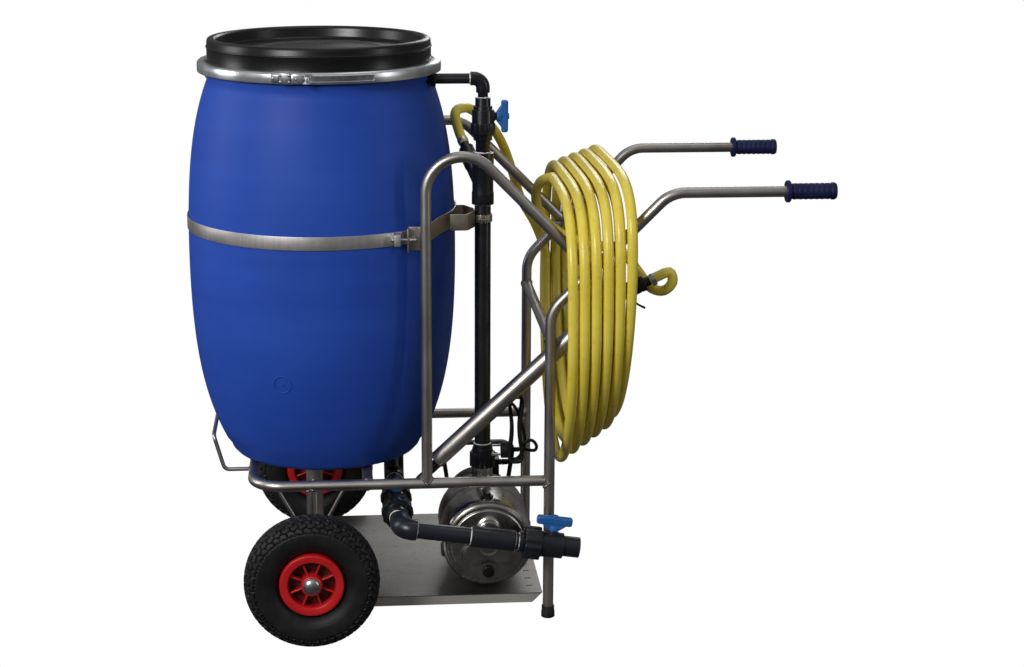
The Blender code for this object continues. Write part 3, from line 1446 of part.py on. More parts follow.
def coil_point(turns, drop):
    """A point of the coil after this many turns. Each turn runs down the far side, under, up the near side
    and over. The turns step towards the handles, climb a layer in half a turn and step back outside."""
    climb_end = COIL_INNER_TURNS + 0.5
    x = COIL_X + COIL_PITCH * min(turns, climb_end) - COIL_PITCH * max(0.0, turns - climb_end)
    layer = min(1.0, max(0.0, (turns - COIL_INNER_TURNS) / 0.5))
    rise = x - COIL_X
    centre = side_line(x)[1] - drop
    top = COIL_TOP_Z + COIL_TOP_SLOPE * rise + layer * COIL_LAYER_TOP - centre
    bottom = centre - COIL_BOTTOM_Z - COIL_BOTTOM_SLOPE * rise + layer * COIL_LAYER_BOTTOM
    half = COIL_HALF_W + layer * COIL_LAYER
    across, down = math.cos(math.tau * turns), math.sin(math.tau * turns)
    height, power = (bottom, 2.0) if down > 0 else (top, COIL_SHOULDER)
    reach = ((abs(across) / half) ** power + (abs(down) / height) ** power) ** (-1 / power)
    return Vector((x, reach * across, centre - reach * down))


def coil_points(drop):
    last = (COIL_INNER_TURNS + COIL_OUTER_TURNS + 0.75) * COIL_STEPS
    return [coil_point(k / COIL_STEPS, drop) for k in range(int(last) + 1)]


def least_distance(line, start, end):
    """The least distance between a line of points and one straight run."""
    least = 1.0
    axis = (end - start).normalized()
    for p, q in zip(line, line[1:]):
        for k in range(8):
            at = p.lerp(q, k / 8)
            along = min(max((at - start).dot(axis), 0), (end - start).length)
            least = min(least, (at - start - axis * along).length)
    return least


def coil_drop():
    """How far the coil's widest part hangs below the side tubes once its loops rest on them and the hoops."""
    low, high = 0.0, 0.12
    for _ in range(14):
        middle = (low + high) / 2
        if coil_room(middle) > HOSE_R + TUBE_R + GAP:
            low = middle
        else:
            high = middle
    return low


def coil_room(drop):
    """The least distance between the coil's middle line and those of the tubes that it hangs over."""
    hoop_z = side_line(HOOP_END_X)[1] + HOOP_END_X - (HOOP_X + 2 * HOOP_BEND)
    room = 1.0
    for side in (-1, 1):
        ends = [Vector((x, side * side_line(x)[0], side_line(x)[1])) for x in (LEG_X + 0.02, HANDLE_X)]
        room = min(room, least_distance(coil_points(drop), *ends))
        down = Vector((HOOP_END_X, side * side_line(HOOP_END_X)[0], side_line(HOOP_END_X)[1]))
        up = Vector((HOOP_X + 2 * HOOP_BEND, side * RAIL_Y, hoop_z))
        room = min(room, least_distance(coil_points(drop), up, down))
    return room


def hose():
    drop = coil_drop()
    coil = coil_points(drop)
    cord("hose_coil", coil, HOSE_R, "hose_yellow", 1)
    way = Vector(BRANCH_WAY).normalized()
    tail = branch_start() + way * (BRANCH_L + TAIL_L + GAP)
    into = (coil[0] - coil[1]).normalized()
    start = coil[0] + into * GAP
    route = [
        tail,
        tail + way * 0.022,
        (0.297, 0.030, 0.966),
        (0.318, 0.066, 0.972),
        (0.342, 0.115, 0.957),
        (0.369, 0.170, 0.929),
        (0.393, 0.222, 0.899),
        (0.414, 0.262, 0.860),
        (0.433, 0.279, 0.808),
        (0.453, 0.281, 0.745),
        (0.484, 0.281, 0.690),
        start + into * 0.020,
        start,
    ]
    cord("hose_lead", smooth(route, 0.030), HOSE_R, "hose_yellow", 2)
    out = (coil[-1] - coil[-2]).normalized()
    start = coil[-1] + out * GAP
    end = gun_tail() + gun_way() * GAP
    route = [
        start,
        start + out * 0.022,
        (0.474, 0.085, 0.815),
        (0.470, 0.130, 0.775),
        (0.482, 0.145, 0.735),
        (0.515, 0.130, 0.705),
        (0.560, 0.080, 0.692),
        (0.598, -0.020, 0.700),
        (0.622, -0.110, 0.706),
        (0.640, -0.170, 0.684),
        (0.664, -0.196, 0.655),
        (0.687, -0.204, 0.652),
        (0.702, -0.210, 0.670),
        (0.696, -0.213, 0.690),
        end + gun_way() * 0.012,
        end,
    ]
    cord("hose_end", smooth(route, 0.022), HOSE_R, "hose_yellow", 2)


# --- Cable ---------------------------------------------------------------------------------------------


def hank_point(turns):
    """A point of the hank: long upright loops side by side, all drawn in at the waist."""
    angle = math.tau * turns
    middle, half = (HANK_TOP_Z + HANK_BOTTOM_Z) / 2, (HANK_TOP_Z - HANK_BOTTOM_Z) / 2
    z = math.cos(angle)
    width = HANK_WAIST + (HANK_HALF_W - HANK_WAIST) * z * z
    sign = math.sin(angle)
    x = width * math.copysign(abs(sign) ** 0.55, sign)
    return Vector((HANK_X + x, HANK_Y + HANK_PITCH * (HANK_TURNS - turns), middle + half * z))


def cable():
    line = [hank_point(k / 24) for k in range(HANK_TURNS * 24 + 7)]
    out = (line[-1] - line[-2]).normalized()
    plug_at = Vector((0.412, HANK_Y + HANK_PITCH * (HANK_TURNS + 0.5) + PLUG_BODY_R, 0.318))
    loose = [
        line[-1],
        line[-1] + out * 0.008,
        Vector((0.432, line[-1].y + 0.002, 0.352)),
        Vector((0.443, line[-1].y + 0.012, 0.338)),
        Vector((0.441, line[-1].y + 0.030, 0.322)),
        plug_at + X * (0.010 + GAP),
        plug_at + X * GAP,
    ]
    cord("cable_hank", line[:-1] + smooth(loose, 0.008), CABLE_R, "cable_black", 1)
    start = gland_place() + X * GAP
    into = (line[0] - line[1]).normalized()
    end = line[0] + into * GAP
    route = [start, start + X * 0.010, (0.424, 0.002, 0.252), (0.432, -0.060, 0.310), (0.408, -0.118, 0.395)]
    route += [(0.378, -0.152, 0.434), end + into * 0.008, end]
    cord("cable_lead", smooth(route, 0.022), CABLE_R, "cable_black", 2)
    # The plug: a short body with two round pins.
    spans = [(0.010, 0.006), (0.016, PLUG_BODY_R - 0.004), (1, PLUG_BODY_R)]
    line = [plug_at, plug_at - X * PLUG_BODY_L]
    made = make("mains_plug", sweep(stepped(line, spans), 14), "cable_black")
    for way in (-1, 1):
        pin = line[1] + Z * way * PIN_SPACING / 2
        join(made, bar(pin + X * 0.004, pin - X * PIN_L, PIN_R, 10))


# --- The cart ------------------------------------------------------------------------------------------


def build():
    clear_scene()
    cart = bpy.data.objects.new("cart", None)
    bpy.context.scene.collection.objects.link(cart)
    cart.location = (AXLE_X, 0, 0)
    for side, end in ((-1, "left"), (1, "right")):
        for maker in (side_tube, foot_cap, grip, hoop, axle_bracket, tyre, rim, hub_cap, strap_bolt):
            maker(side, end)
    for maker in (base_loop, drum_bearer, rear_cross_bar, bumper_rod, axle, base_plate, holder_tube):
        maker()
    for maker in (drum, lid, lid_gasket, closing_ring, ring_lever, drum_strap, riser_bracket):
        maker()
    for maker in (pump_body, front_cover, drain_plug, filler_plug, pump_rotor, motor, terminal_box):
        maker()
    for maker in (carry_handle, outlet_fitting, outlet_valve, outlet_handle, suction_line, drain_valve):
        maker()
    for maker in (drain_handle, riser, wye, return_valve, return_handle, return_pipe, lance, gun, trigger):
        maker()
    hose()
    cable()


build()
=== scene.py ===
"""A wheeled sprayer cart for orchards and vineyards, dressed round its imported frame: an open-head drum on a
bent tube frame, an electric pump, valved pipework, a coiled hose and a trigger lance."""

import math

import bmesh
import bpy
import numpy as np
from mathutils import Matrix, Vector


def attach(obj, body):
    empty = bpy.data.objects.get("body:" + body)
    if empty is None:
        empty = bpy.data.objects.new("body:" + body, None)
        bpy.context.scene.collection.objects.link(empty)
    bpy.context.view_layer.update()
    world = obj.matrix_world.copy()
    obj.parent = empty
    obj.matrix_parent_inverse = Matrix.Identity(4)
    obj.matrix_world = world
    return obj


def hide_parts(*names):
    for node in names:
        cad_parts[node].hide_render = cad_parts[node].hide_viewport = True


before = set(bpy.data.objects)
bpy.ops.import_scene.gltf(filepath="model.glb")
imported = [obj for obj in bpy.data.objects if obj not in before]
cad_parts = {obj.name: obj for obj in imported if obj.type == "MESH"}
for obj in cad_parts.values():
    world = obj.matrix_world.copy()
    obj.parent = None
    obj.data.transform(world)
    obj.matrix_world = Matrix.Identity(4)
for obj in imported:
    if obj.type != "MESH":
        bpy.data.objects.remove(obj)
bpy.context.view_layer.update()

# --- The studio -----------------------------------------------------------------------------------------
# A white surround that lights the cart only dimly, as in a dark hall, with one large soft lamp in front, one
# at each side, one overhead and one behind. The photograph has no floor and no shadow, so there is none here.
# The camera stands about four metres off at the height of a person's eyes, with a long lens.

scene = bpy.context.scene
scene.view_settings.view_transform = "Standard"


class Flow:
    """A shader socket that takes part in Python sums: each operator adds the Math node that works it out."""

    def __init__(self, tree, socket):
        self.tree, self.socket = tree, socket

    def maths(self, operation, *values, clamp=False):
        node = self.tree.nodes.new("ShaderNodeMath")
        node.operation, node.use_clamp = operation, clamp
        for entry, value in zip(node.inputs, values):
            if isinstance(value, Flow):
                self.tree.links.new(value.socket, entry)
            else:
                entry.default_value = value
        return Flow(self.tree, node.outputs[0])

    def __add__(self, other):
        return self.maths("ADD", self, other)

    def __radd__(self, other):
        return self.maths("ADD", other, self)

    def __sub__(self, other):
        return self.maths("SUBTRACT", self, other)

    def __rsub__(self, other):
        return self.maths("SUBTRACT", other, self)

    def __mul__(self, other):
        return self.maths("MULTIPLY", self, other)

    def __abs__(self):
        return self.maths("ABSOLUTE", self)

    def clamped(self):
        return self.maths("ADD", self, 0.0, clamp=True)

    def above(self, low, high):
        """0 below low, 1 above high and a straight rise between them."""
        return self.maths("MULTIPLY", self - low, 1.0 / (high - low), clamp=True)


class Finish:
    """A material whose nodes are added one by one, on a Principled shader."""

    def __init__(self, name, colour, roughness, metallic=0.0, **sockets):
        self.material = bpy.data.materials.new(name)
        self.material.use_nodes = True
        self.tree = self.material.node_tree
        self.shader = self.tree.nodes["Principled BSDF"]
        self.material.diffuse_color = (*colour, 1.0)
        self.put(Base_Color=(*colour, 1.0), Roughness=roughness, Metallic=metallic, **sockets)

    def put(self, **sockets):
        for name, value in sockets.items():
            self.feed(self.shader.inputs[name.replace("_", " ")], value)

    def feed(self, entry, value):
        if isinstance(value, Flow):
            self.tree.links.new(value.socket, entry)
        else:
            entry.default_value = value

    def node(self, kind, sockets=None, output=0):
        node = self.tree.nodes.new("ShaderNode" + kind)
        for name, value in (sockets or {}).items():
            self.feed(node.inputs[name], value)
        return Flow(self.tree, node.outputs[output])

    def place(self, stretch=(1.0, 1.0, 1.0), uv=False):
        """Object coordinates, or the surface's own in metres, stretched along each axis."""
        at = self.node("TexCoord", output="UV" if uv else "Object")
        return self.node("Mapping", {"Vector": at, "Scale": stretch})

    def axis(self, letter):
        """One of the object coordinates, X, Y or Z."""
        return self.node("SeparateXYZ", {"Vector": self.place()}, letter)

    def noise(self, scale, detail=3.0, rough=0.5, stretch=(1.0, 1.0, 1.0), uv=False):
        at = self.place(stretch, uv)
        return self.node("TexNoise", {"Vector": at, "Scale": scale, "Detail": detail, "Roughness": rough})

    def mix(self, factor, first, second):
        """The first colour where the factor is 0 and the second where it is 1."""
        node = self.tree.nodes.new("ShaderNodeMix")
        node.data_type = "RGBA"
        # Of the node's sockets, 0 is its factor, 6 and 7 are its two colours, and 2 is the mixed colour.
        self.feed(node.inputs[0], factor)
        for entry, value in ((node.inputs[6], first), (node.inputs[7], second)):
            self.feed(entry, value if isinstance(value, Flow) else (*value, 1.0))
        return Flow(self.tree, node.outputs[2])

    def done(self, colour, roughness, relief, depth, strength):
        """The finished material, with this relief as a bump of this depth in metres."""
        bump = self.node("Bump", {"Height": relief, "Distance": depth, "Strength": strength})
        self.put(Base_Color=colour, Roughness=roughness, Normal=bump)
        return self.material


MIDDLE = Vector((0.0, 0.0, 0.6))
for name, place, size, power in (
    ("key_lamp", (-2.5, -3.2, 2.5), (1.3, 1.3), 112),
    ("left_lamp", (-3.2, 0.2, 1.6), (0.8, 1.8), 26),
    ("right_lamp", (3.0, -1.6, 1.5), (0.5, 1.8), 12),
    ("top_lamp", (0.2, 0.2, 3.4), (1.8, 1.2), 7),
    ("back_lamp", (0.8, 3.4, 2.2), (1.6, 1.2), 22),
):
    light = bpy.data.lights.new(name, "AREA")
    light.shape = "RECTANGLE"
    light.size, light.size_y = size
    light.energy = power
    lamp = bpy.data.objects.new(name, light)
    lamp.location = place
    lamp.rotation_mode = "QUATERNION"
    lamp.rotation_quaternion = (MIDDLE - Vector(place)).to_track_quat("-Z", "Y")
    scene.collection.objects.link(lamp)

world = bpy.data.worlds.new("surround")
world.use_nodes = True
scene.world = world
tree = world.node_tree
seen = Flow(tree, tree.nodes.new("ShaderNodeLightPath").outputs["Is Camera Ray"])
direction = tree.nodes.new("ShaderNodeTexCoord")
axes = tree.nodes.new("ShaderNodeSeparateXYZ")
tree.links.new(direction.outputs["Generated"], axes.inputs[0])
# Dim below the horizon and lighter overhead, for the light that reaches the cart and for its reflections.
hall = 0.05 + Flow(tree, axes.outputs["Z"]).above(-0.3, 0.9) * 0.26
surround = tree.nodes["Background"]
surround.inputs["Color"].default_value = (1.0, 1.0, 1.0, 1.0)
tree.links.new((hall + seen * (1.0 - hall)).socket, surround.inputs["Strength"])

CAMERA_PLACE = (-0.3193, -3.8926, 1.525)
CAMERA_YAW, CAMERA_PITCH, CAMERA_ROLL = 0.0888, 0.2521, 0.0051
CAMERA_FOCAL_PX, FRAME_W_PX = 1978.78, 1024
view_camera = bpy.data.cameras.new("view_camera")
view_camera.sensor_width = 36.0
view_camera.lens = CAMERA_FOCAL_PX / FRAME_W_PX * view_camera.sensor_width
level = Vector((math.cos(CAMERA_YAW), -math.sin(CAMERA_YAW), 0.0))
onward = Vector((math.sin(CAMERA_YAW), math.cos(CAMERA_YAW), 0.0))
ahead = onward * math.cos(CAMERA_PITCH) - Vector((0.0, 0.0, math.sin(CAMERA_PITCH)))
upward = level.cross(ahead)
right = level * math.cos(CAMERA_ROLL) + upward * math.sin(CAMERA_ROLL)
upward = upward * math.cos(CAMERA_ROLL) - level * math.sin(CAMERA_ROLL)
camera = bpy.data.objects.new("view_camera", view_camera)
facing = Matrix((right, upward, -ahead)).transposed().to_4x4()
camera.matrix_world = Matrix.Translation(CAMERA_PLACE) @ facing
scene.collection.objects.link(camera)
scene.camera = camera

# --- Frame tubes ----------------------------------------------------------------------------------------
# Stainless tube of 21 mm, bent cold and welded: two side tubes from the feet to the grips, two hoops up
# from the rail loop, the drum's bearer and a cross bar. Each welded end has its own rippled bead.

CART_X = -0.383008  # where the axle lies; lengths in this file are measured from it
TUBE_R, TUBE_SIDES, TUBE_STOP, POST_R = 0.0105, 40, 0.0043, 0.009
LEG_X, LEG_Y, LEG_BEND_Z, SIDE_BEND = 0.463, 0.243, 0.623, 0.065
HANDLE_X, HANDLE_Y, HANDLE_Z, TIP_X = 0.686, 0.265, 0.855, 1.002
RAIL_Y, RAIL_Z, FRONT_X, RAIL_BEND = 0.235, 0.281, -0.113, 0.060
HOOP_X, HOOP_TOP_Z, HOOP_BEND, HOOP_END_X = 0.225, 0.923, 0.070, 0.5405
BEARER_X, CROSS_Z, STRAP_Z = 0.110, 0.567, 0.765
ALONG_X, ALONG_Y, ALONG_Z = np.eye(3)
SIDES = ((-1, "left"), (1, "right"))


def mm(*points):
    """A table of points that are given in millimetres, in metres."""
    return [tuple(value / 1000 for value in point) for point in points]


def unit(vectors):
    """One vector, or each row of them, at a length of one."""
    vectors = np.asarray(vectors, float)
    return vectors / np.linalg.norm(vectors, axis=-1, keepdims=True)


def square_to(way):
    """Two directions at right angles to a line and to each other."""
    side = unit(np.cross(way, ALONG_Z if abs(way[2]) < 0.9 else ALONG_X))
    return side, np.cross(way, side)


def turned(degrees, axis):
    """The matrix of a turn about an axis."""
    return np.array(Matrix.Rotation(math.radians(degrees), 3, Vector(axis)))


def spoke(degrees):
    """The level direction at this angle from the handles' side: (cos a, sin a, 0)."""
    return np.array([math.cos(math.radians(degrees)), math.sin(math.radians(degrees)), 0.0])


def rising(degrees):
    """The direction towards the handles that climbs at this angle: (cos a, 0, sin a)."""
    return np.array([math.cos(math.radians(degrees)), 0.0, math.sin(math.radians(degrees))])


def circle(side, over, count, squash=1.0):
    """Points round a circle in the plane of two directions, or round one circle for each pair of rows:
    cos a * side + squash * sin a * over."""
    angle = np.linspace(0.0, math.tau, count, endpoint=False)[:, None]
    return np.cos(angle) * side[..., None, :] + squash * np.sin(angle) * over[..., None, :]


def both_sides(points):
    """A line through these points of the near side and then through their mirror images."""
    return points + [(x, -y, z) for x, y, z in points[::-1]]


def rounded(corners, radius, step=6.0, closed=False):
    """The line through these corners, with an arc of this radius at each, in steps of this many degrees. An
    arc starts radius * tan(half the turn) before its corner, and never past the middle of a run."""
    corners = [np.array(corner, float) for corner in corners]
    count = len(corners)
    line = [] if closed else [corners[0]]
    for i in range(count) if closed else range(1, count - 1):
        corner = corners[i]
        back, on = corners[i - 1] - corner, corners[(i + 1) % count] - corner
        room = 0.499 * min(np.linalg.norm(back), np.linalg.norm(on))
        back, on = unit(back), unit(on)
        angle = math.acos(max(-1.0, min(1.0, float(-back @ on))))
        if angle < 0.02:
            line.append(corner)
            continue
        reach = min(radius * math.tan(angle / 2), room)
        bend = reach / math.tan(angle / 2)
        centre = corner + unit(back + on) * (bend / math.cos(angle / 2))
        start = corner + back * reach - centre
        side = unit(-back - start * (-back @ start) / (start @ start)) * bend
        turns = np.linspace(0.0, angle, max(2, int(math.degrees(angle) / step) + 1))
        line += [centre + start * math.cos(a) + side * math.sin(a) for a in turns]
    if not closed:
        line.append(corners[-1])
    return np.array(line)


def grid(points, closed=False):
    """One skin: a grid of points whose columns close on themselves. Its rows do too if it is closed, and
    otherwise its first and last rows are filled with flat faces."""
    return {"points": np.asarray(points, float), "closed": closed}


def pipe(path, radius, sides=TUBE_SIDES, across=ALONG_Y, closed=False, squash=1.0):
    """A round section carried along a path: point = path + radius * (cos a * side + sin a * over), where side
    is at right angles to the path and to the direction across."""
    path = np.asarray(path, float)
    radius = np.broadcast_to(np.asarray(radius, float), (len(path),))
    ahead = unit(np.roll(path, -1, 0) - np.roll(path, 1, 0) if closed else np.gradient(path, axis=0))
    side = unit(np.cross(ahead, across))
    ring = circle(side, np.cross(side, ahead), sides, squash)
    return grid(path[:, None] + radius[:, None, None] * ring, closed)


def straight(start, end, radius, sides=TUBE_SIDES, ease=0.0006):
    """A bar between two points, with its end edges eased."""
    start, end = np.array(start, float), np.array(end, float)
    way = unit(end - start)
    run = [start, start + way * ease, end - way * ease, end]
    across = ALONG_Z if abs(way[2]) < 0.9 else ALONG_X
    return pipe(run, [radius - ease, radius, radius, radius - ease], sides, across)


def eased(profile, radius, closed=False, step=20.0):
    """The same (radius, height) profile with each corner rounded."""
    return rounded([(r, 0.0, z) for r, z in profile], radius, step, closed)[:, (0, 2)]


def lathe(profile, origin, way, sides=72, closed=False, ease=None):
    """A profile of (radius, height) points turned about a line: point = origin + way * height + radius *
    (cos a * side + sin a * over). A closed profile is a ring's; an open one ends on the line."""
    profile = np.asarray(profile if ease is None else eased(profile, ease, closed), float)
    way = unit(way)
    centre = np.array(origin, float) + profile[:, 1, None] * way
    return grid(centre[:, None] + profile[:, 0, None, None] * circle(*square_to(way), sides), closed)


def box(size, centre, ease=0.001, turn=None, steps=4):
    """A block with rounded edges: each of its eight corners is an eighth of a ball, and the flat faces run
    between them. Point = sign * (half - ease) + ease * direction, over the ball's two angles."""
    half = np.array(size, float) / 2 - ease
    around = np.concatenate([np.linspace(q * math.pi / 2, (q + 1) * math.pi / 2, steps) for q in range(4)])
    corner = np.repeat(np.array([(1, 1), (-1, 1), (-1, -1), (1, -1)]), steps, axis=0)
    rise = np.concatenate([np.linspace(-math.pi / 2, 0, steps), np.linspace(0, math.pi / 2, steps)])
    points = np.empty((2 * steps, 4 * steps, 3))
    points[..., 0] = corner[:, 0] * half[0] + ease * np.outer(np.cos(rise), np.cos(around))
    points[..., 1] = corner[:, 1] * half[1] + ease * np.outer(np.cos(rise), np.sin(around))
    points[..., 2] = (np.repeat([-1.0, 1.0], steps) * half[2] + ease * np.sin(rise))[:, None]
    if turn is not None:
        points = points @ np.asarray(turn, float).T
    return grid(points + np.array(centre, float))


def weld(joint, way, radius, other, other_radius, bead=0.0024):
    """The bead where a tube that runs towards a joint meets another tube. A point of the line is joint + ring
    - t * way, with t from the quadratic that puts it on the other tube's surface. Its radius ripples."""
    way, other = unit(way), unit(other)
    side = unit(np.cross(way, other))
    ring = radius * circle(side, np.cross(side, way), 96)
    flat = ring - (ring @ other)[:, None] * other
    back = (way @ other) * other - way
    square, mixed = back @ back, flat @ back
    least = np.maximum(mixed**2 - square * ((flat**2).sum(1) - other_radius**2), 0.0)
    reach = (np.sqrt(least) - mixed) / square
    ripple = bead * (1.0 + 0.16 * np.cos(np.arange(96) / 96 * math.tau * 24))
    return pipe(np.array(joint, float) + ring - reach[:, None] * way, ripple, 10, way, closed=True)


def piece(name, skins, finish, stands_for=None, body="cart", sharp=35.0):
    """One mesh from its skins, on a body: quads between the grid's rows and columns, a flat face on each open
    end, metres along and around as its UV map, and every skin's faces turned outwards."""
    vertices, faces, uvs, start = [], [], [], 0
    for skin in skins:
        points = skin["points"] + ALONG_X * CART_X
        rows, columns = points.shape[:2]
        r, c = np.meshgrid(np.arange(rows - (not skin["closed"])), np.arange(columns), indexing="ij")
        r, c = r.ravel(), c.ravel()
        row, next_row, beside = r * columns, (r + 1) % rows * columns, (c + 1) % columns
        corners = np.stack([row + c, row + beside, next_row + beside, next_row + c], 1)
        runs = np.linalg.norm(np.diff(points, axis=0), axis=2).mean(1)
        girth = np.linalg.norm(np.diff(points, axis=1), axis=2).sum(1).mean() / (columns - 1)
        gone = np.concatenate([[0.0], np.cumsum(runs), [runs.sum() + runs[-1:].sum()]])
        lap = np.stack([c, c + 1, c + 1, c], 1) * girth
        uvs.append(np.stack([lap, gone[np.stack([r, r, r + 1, r + 1], 1)]], -1).reshape(-1, 2))
        faces += (corners + start).tolist()
        if not skin["closed"]:
            for end_row in (0, rows - 1):
                ring = points[end_row]
                faces.append((np.arange(columns) + end_row * columns + start).tolist())
                uvs.append((ring - ring.mean(0))[:, :2])
        vertices.append(points.reshape(-1, 3))
        start += rows * columns
    mesh = bpy.data.meshes.new(name)
    mesh.from_pydata(np.concatenate(vertices), [], faces)
    layer = mesh.uv_layers.new(name="surface")
    layer.data.foreach_set("uv", np.concatenate(uvs).ravel().astype(np.float32))
    shell = bmesh.new()
    shell.from_mesh(mesh)
    bmesh.ops.remove_doubles(shell, verts=shell.verts, dist=1e-6)
    bmesh.ops.recalc_face_normals(shell, faces=shell.faces)
    shell.to_mesh(mesh)
    shell.free()
    mesh.shade_smooth()
    mesh.set_sharp_from_angle(angle=math.radians(sharp))
    mesh.materials.append(finish)
    made = bpy.data.objects.new(name, mesh)
    scene.collection.objects.link(made)
    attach(made, body)
    if stands_for:
        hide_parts(stands_for)
    return made


def brushed_tube(name):
    """Drawn stainless tube: fine streaks along it, soft smudges from hands and a brown cast."""
    steel = Finish(name, (0.50, 0.46, 0.43), 0.34, 1.0)
    streak = steel.noise(1.0, 4, 0.6, (900.0, 14.0, 1.0), uv=True)
    smudge = steel.noise(11.0, 3, 0.6)
    tone = (streak * 0.6 + smudge * 0.55).above(0.35, 0.85)
    colour = steel.mix(tone, (0.36, 0.325, 0.30), (0.66, 0.62, 0.585))
    return steel.done(colour, 0.25 + smudge * 0.18 + streak * 0.10, streak, 0.00003, 0.5)


def weld_metal(name):
    """Bead left as welded: duller than the tube and tinted straw to brown by the heat."""
    bead = Finish(name, (0.33, 0.28, 0.23), 0.42, 1.0)
    heat = bead.noise(90.0, 3, 0.6).above(0.35, 0.7)
    colour = bead.mix(heat, (0.15, 0.11, 0.09), (0.33, 0.28, 0.25))
    return bead.done(colour, 0.42, bead.noise(420.0, 2), 0.0002, 0.6)


def side_line(x):
    """The side tube's distance from the middle and its height on its slanting run."""
    share = (x - LEG_X) / (HANDLE_X - LEG_X)
    return LEG_Y + share * (HANDLE_Y - LEG_Y), LEG_BEND_Z + share * (HANDLE_Z - LEG_BEND_Z)


steel_tube = brushed_tube("frame_tube_stainless")
steel_bead = weld_metal("weld_bead")
for side, end in SIDES:
    rail_y, leg_y, handle_y = side * RAIL_Y, side * LEG_Y, side * HANDLE_Y
    route = [(LEG_X, leg_y, TUBE_STOP), (LEG_X, leg_y, LEG_BEND_Z)]
    route += [(HANDLE_X, handle_y, HANDLE_Z), (TIP_X - TUBE_STOP, handle_y, HANDLE_Z)]
    side_tube = pipe(rounded(route, SIDE_BEND), TUBE_R)
    piece(f"side_tube_smooth_{end}", [side_tube], steel_tube, f"side_tube_{end}")
    end_y, end_z = side_line(HOOP_END_X)
    top_z = HOOP_TOP_Z - HOOP_BEND + HOOP_BEND * math.tan(math.radians(67.5))
    ends = [(HOOP_X, rail_y, RAIL_Z), (HOOP_X, rail_y, top_z), (HOOP_END_X, side * end_y, end_z)]
    foot, top, tail = np.array(ends)
    hoop_skins = [
        pipe(rounded([foot, top, tail], HOOP_BEND), TUBE_R),
        # The channel welded to the hoop's front at the strap's height: its web and its outer flange.
        box((0.003, 0.022, 0.046), (0.1915, rail_y, STRAP_Z), 0.0012),
        box((0.0265, 0.003, 0.046), (0.2030, side * (RAIL_Y - 0.0095), STRAP_Z), 0.0012),
    ]
    piece(f"hoop_smooth_{end}", hoop_skins, steel_tube, f"hoop_{end}")
    run = (HANDLE_X - LEG_X, side * (HANDLE_Y - LEG_Y), HANDLE_Z - LEG_BEND_Z)
    beads = [
        weld(foot, -ALONG_Z, TUBE_R, ALONG_X, TUBE_R),
        weld(tail, tail - top, TUBE_R, run, TUBE_R),
        weld((LEG_X, leg_y, RAIL_Z), ALONG_X, TUBE_R, ALONG_Z, TUBE_R),
        weld((BEARER_X, rail_y, RAIL_Z), (0, side, 0), TUBE_R, ALONG_X, TUBE_R),
        weld((LEG_X, leg_y, CROSS_Z), (0, side, 0), TUBE_R, ALONG_Z, TUBE_R),
        weld((0.0, rail_y, RAIL_Z), ALONG_Z, POST_R, ALONG_X, TUBE_R),
    ]
    piece(f"frame_welds_{end}", beads, steel_bead)

rail = rounded(both_sides([(LEG_X, -RAIL_Y, RAIL_Z), (FRONT_X, -RAIL_Y, RAIL_Z)]), RAIL_BEND)
for name, node, line in (
    ("rail_loop_smooth", "base_loop", rail),
    ("drum_bearer_smooth", "drum_bearer", [(BEARER_X, y, RAIL_Z) for y in (-RAIL_Y, 0, RAIL_Y)]),
    ("rear_cross_bar_smooth", "rear_cross_bar", [(LEG_X, y, CROSS_Z) for y in (-LEG_Y, 0, LEG_Y)]),
):
    piece(name, [pipe(line, TUBE_R, across=ALONG_Z)], steel_tube, node)

# --- Bumper, brackets, axle and base plate --------------------------------------------------------------
# Welded from bar and sheet: an 8 mm rod bent up in front of the drum, a post with a hanger plate and two
# thin stays over each wheel, a plain 16 mm axle, and a 2 mm sheet folded down at its edges.

BUMPER_X, BUMPER_Y, BUMPER_Z, BUMPER_TOP_X, BUMPER_R = -0.1715, 0.120, 0.352, -0.1911, 0.004
AXLE_Z, AXLE_HALF_L, PLATE_TOP_Z, PLATE_FOLD_Z = 0.130, 0.3825, 0.049, 0.048
GAP = 0.0003  # between two parts that touch
SKEW = (0.577, 0.577, 0.577)  # a direction that no run of the bumper follows

bumper = [(FRONT_X, -BUMPER_Y, RAIL_Z), (BUMPER_X, -BUMPER_Y, RAIL_Z), (BUMPER_TOP_X, -BUMPER_Y, BUMPER_Z)]
bumper_rod = pipe(rounded(both_sides(bumper), 0.012, 10.0), BUMPER_R, 20, SKEW)
piece("bumper_rod_smooth", [bumper_rod], steel_tube, "bumper_rod")
bumper_feet = [(FRONT_X, side * BUMPER_Y, RAIL_Z) for side in (-1, 1)]
beads = [weld(foot, ALONG_X, BUMPER_R, ALONG_Y, TUBE_R, 0.0014) for foot in bumper_feet]
piece("bumper_welds", beads, steel_bead)

for side, end in SIDES:
    y, low, high = side * RAIL_Y, PLATE_TOP_Z + GAP, AXLE_Z + 0.055
    hanger = [
        straight((0, y, AXLE_Z + 0.030), (0, y, RAIL_Z), POST_R, 28),
        box((0.036, 0.004, high - low), (0, y, (low + high) / 2), 0.0012),
        weld((0, y, high), -ALONG_Z, POST_R, ALONG_X, 0.002, 0.0013),
    ]
    for way in (-1, 1):
        stay = [(way * 0.067, y, RAIL_Z), (way * 0.0395, y, 0.2295), (way * 0.012, y, 0.178)]
        hanger.append(pipe(stay, 0.0035, 16))
    piece(f"axle_bracket_smooth_{end}", hanger, steel_tube, f"axle_bracket_{end}")

axle_bar = straight((0, -AXLE_HALF_L, AXLE_Z), (0, AXLE_HALF_L, AXLE_Z), 0.008, 32, 0.0008)
piece("axle_smooth", [axle_bar], brushed_tube("axle_stainless"), "axle")


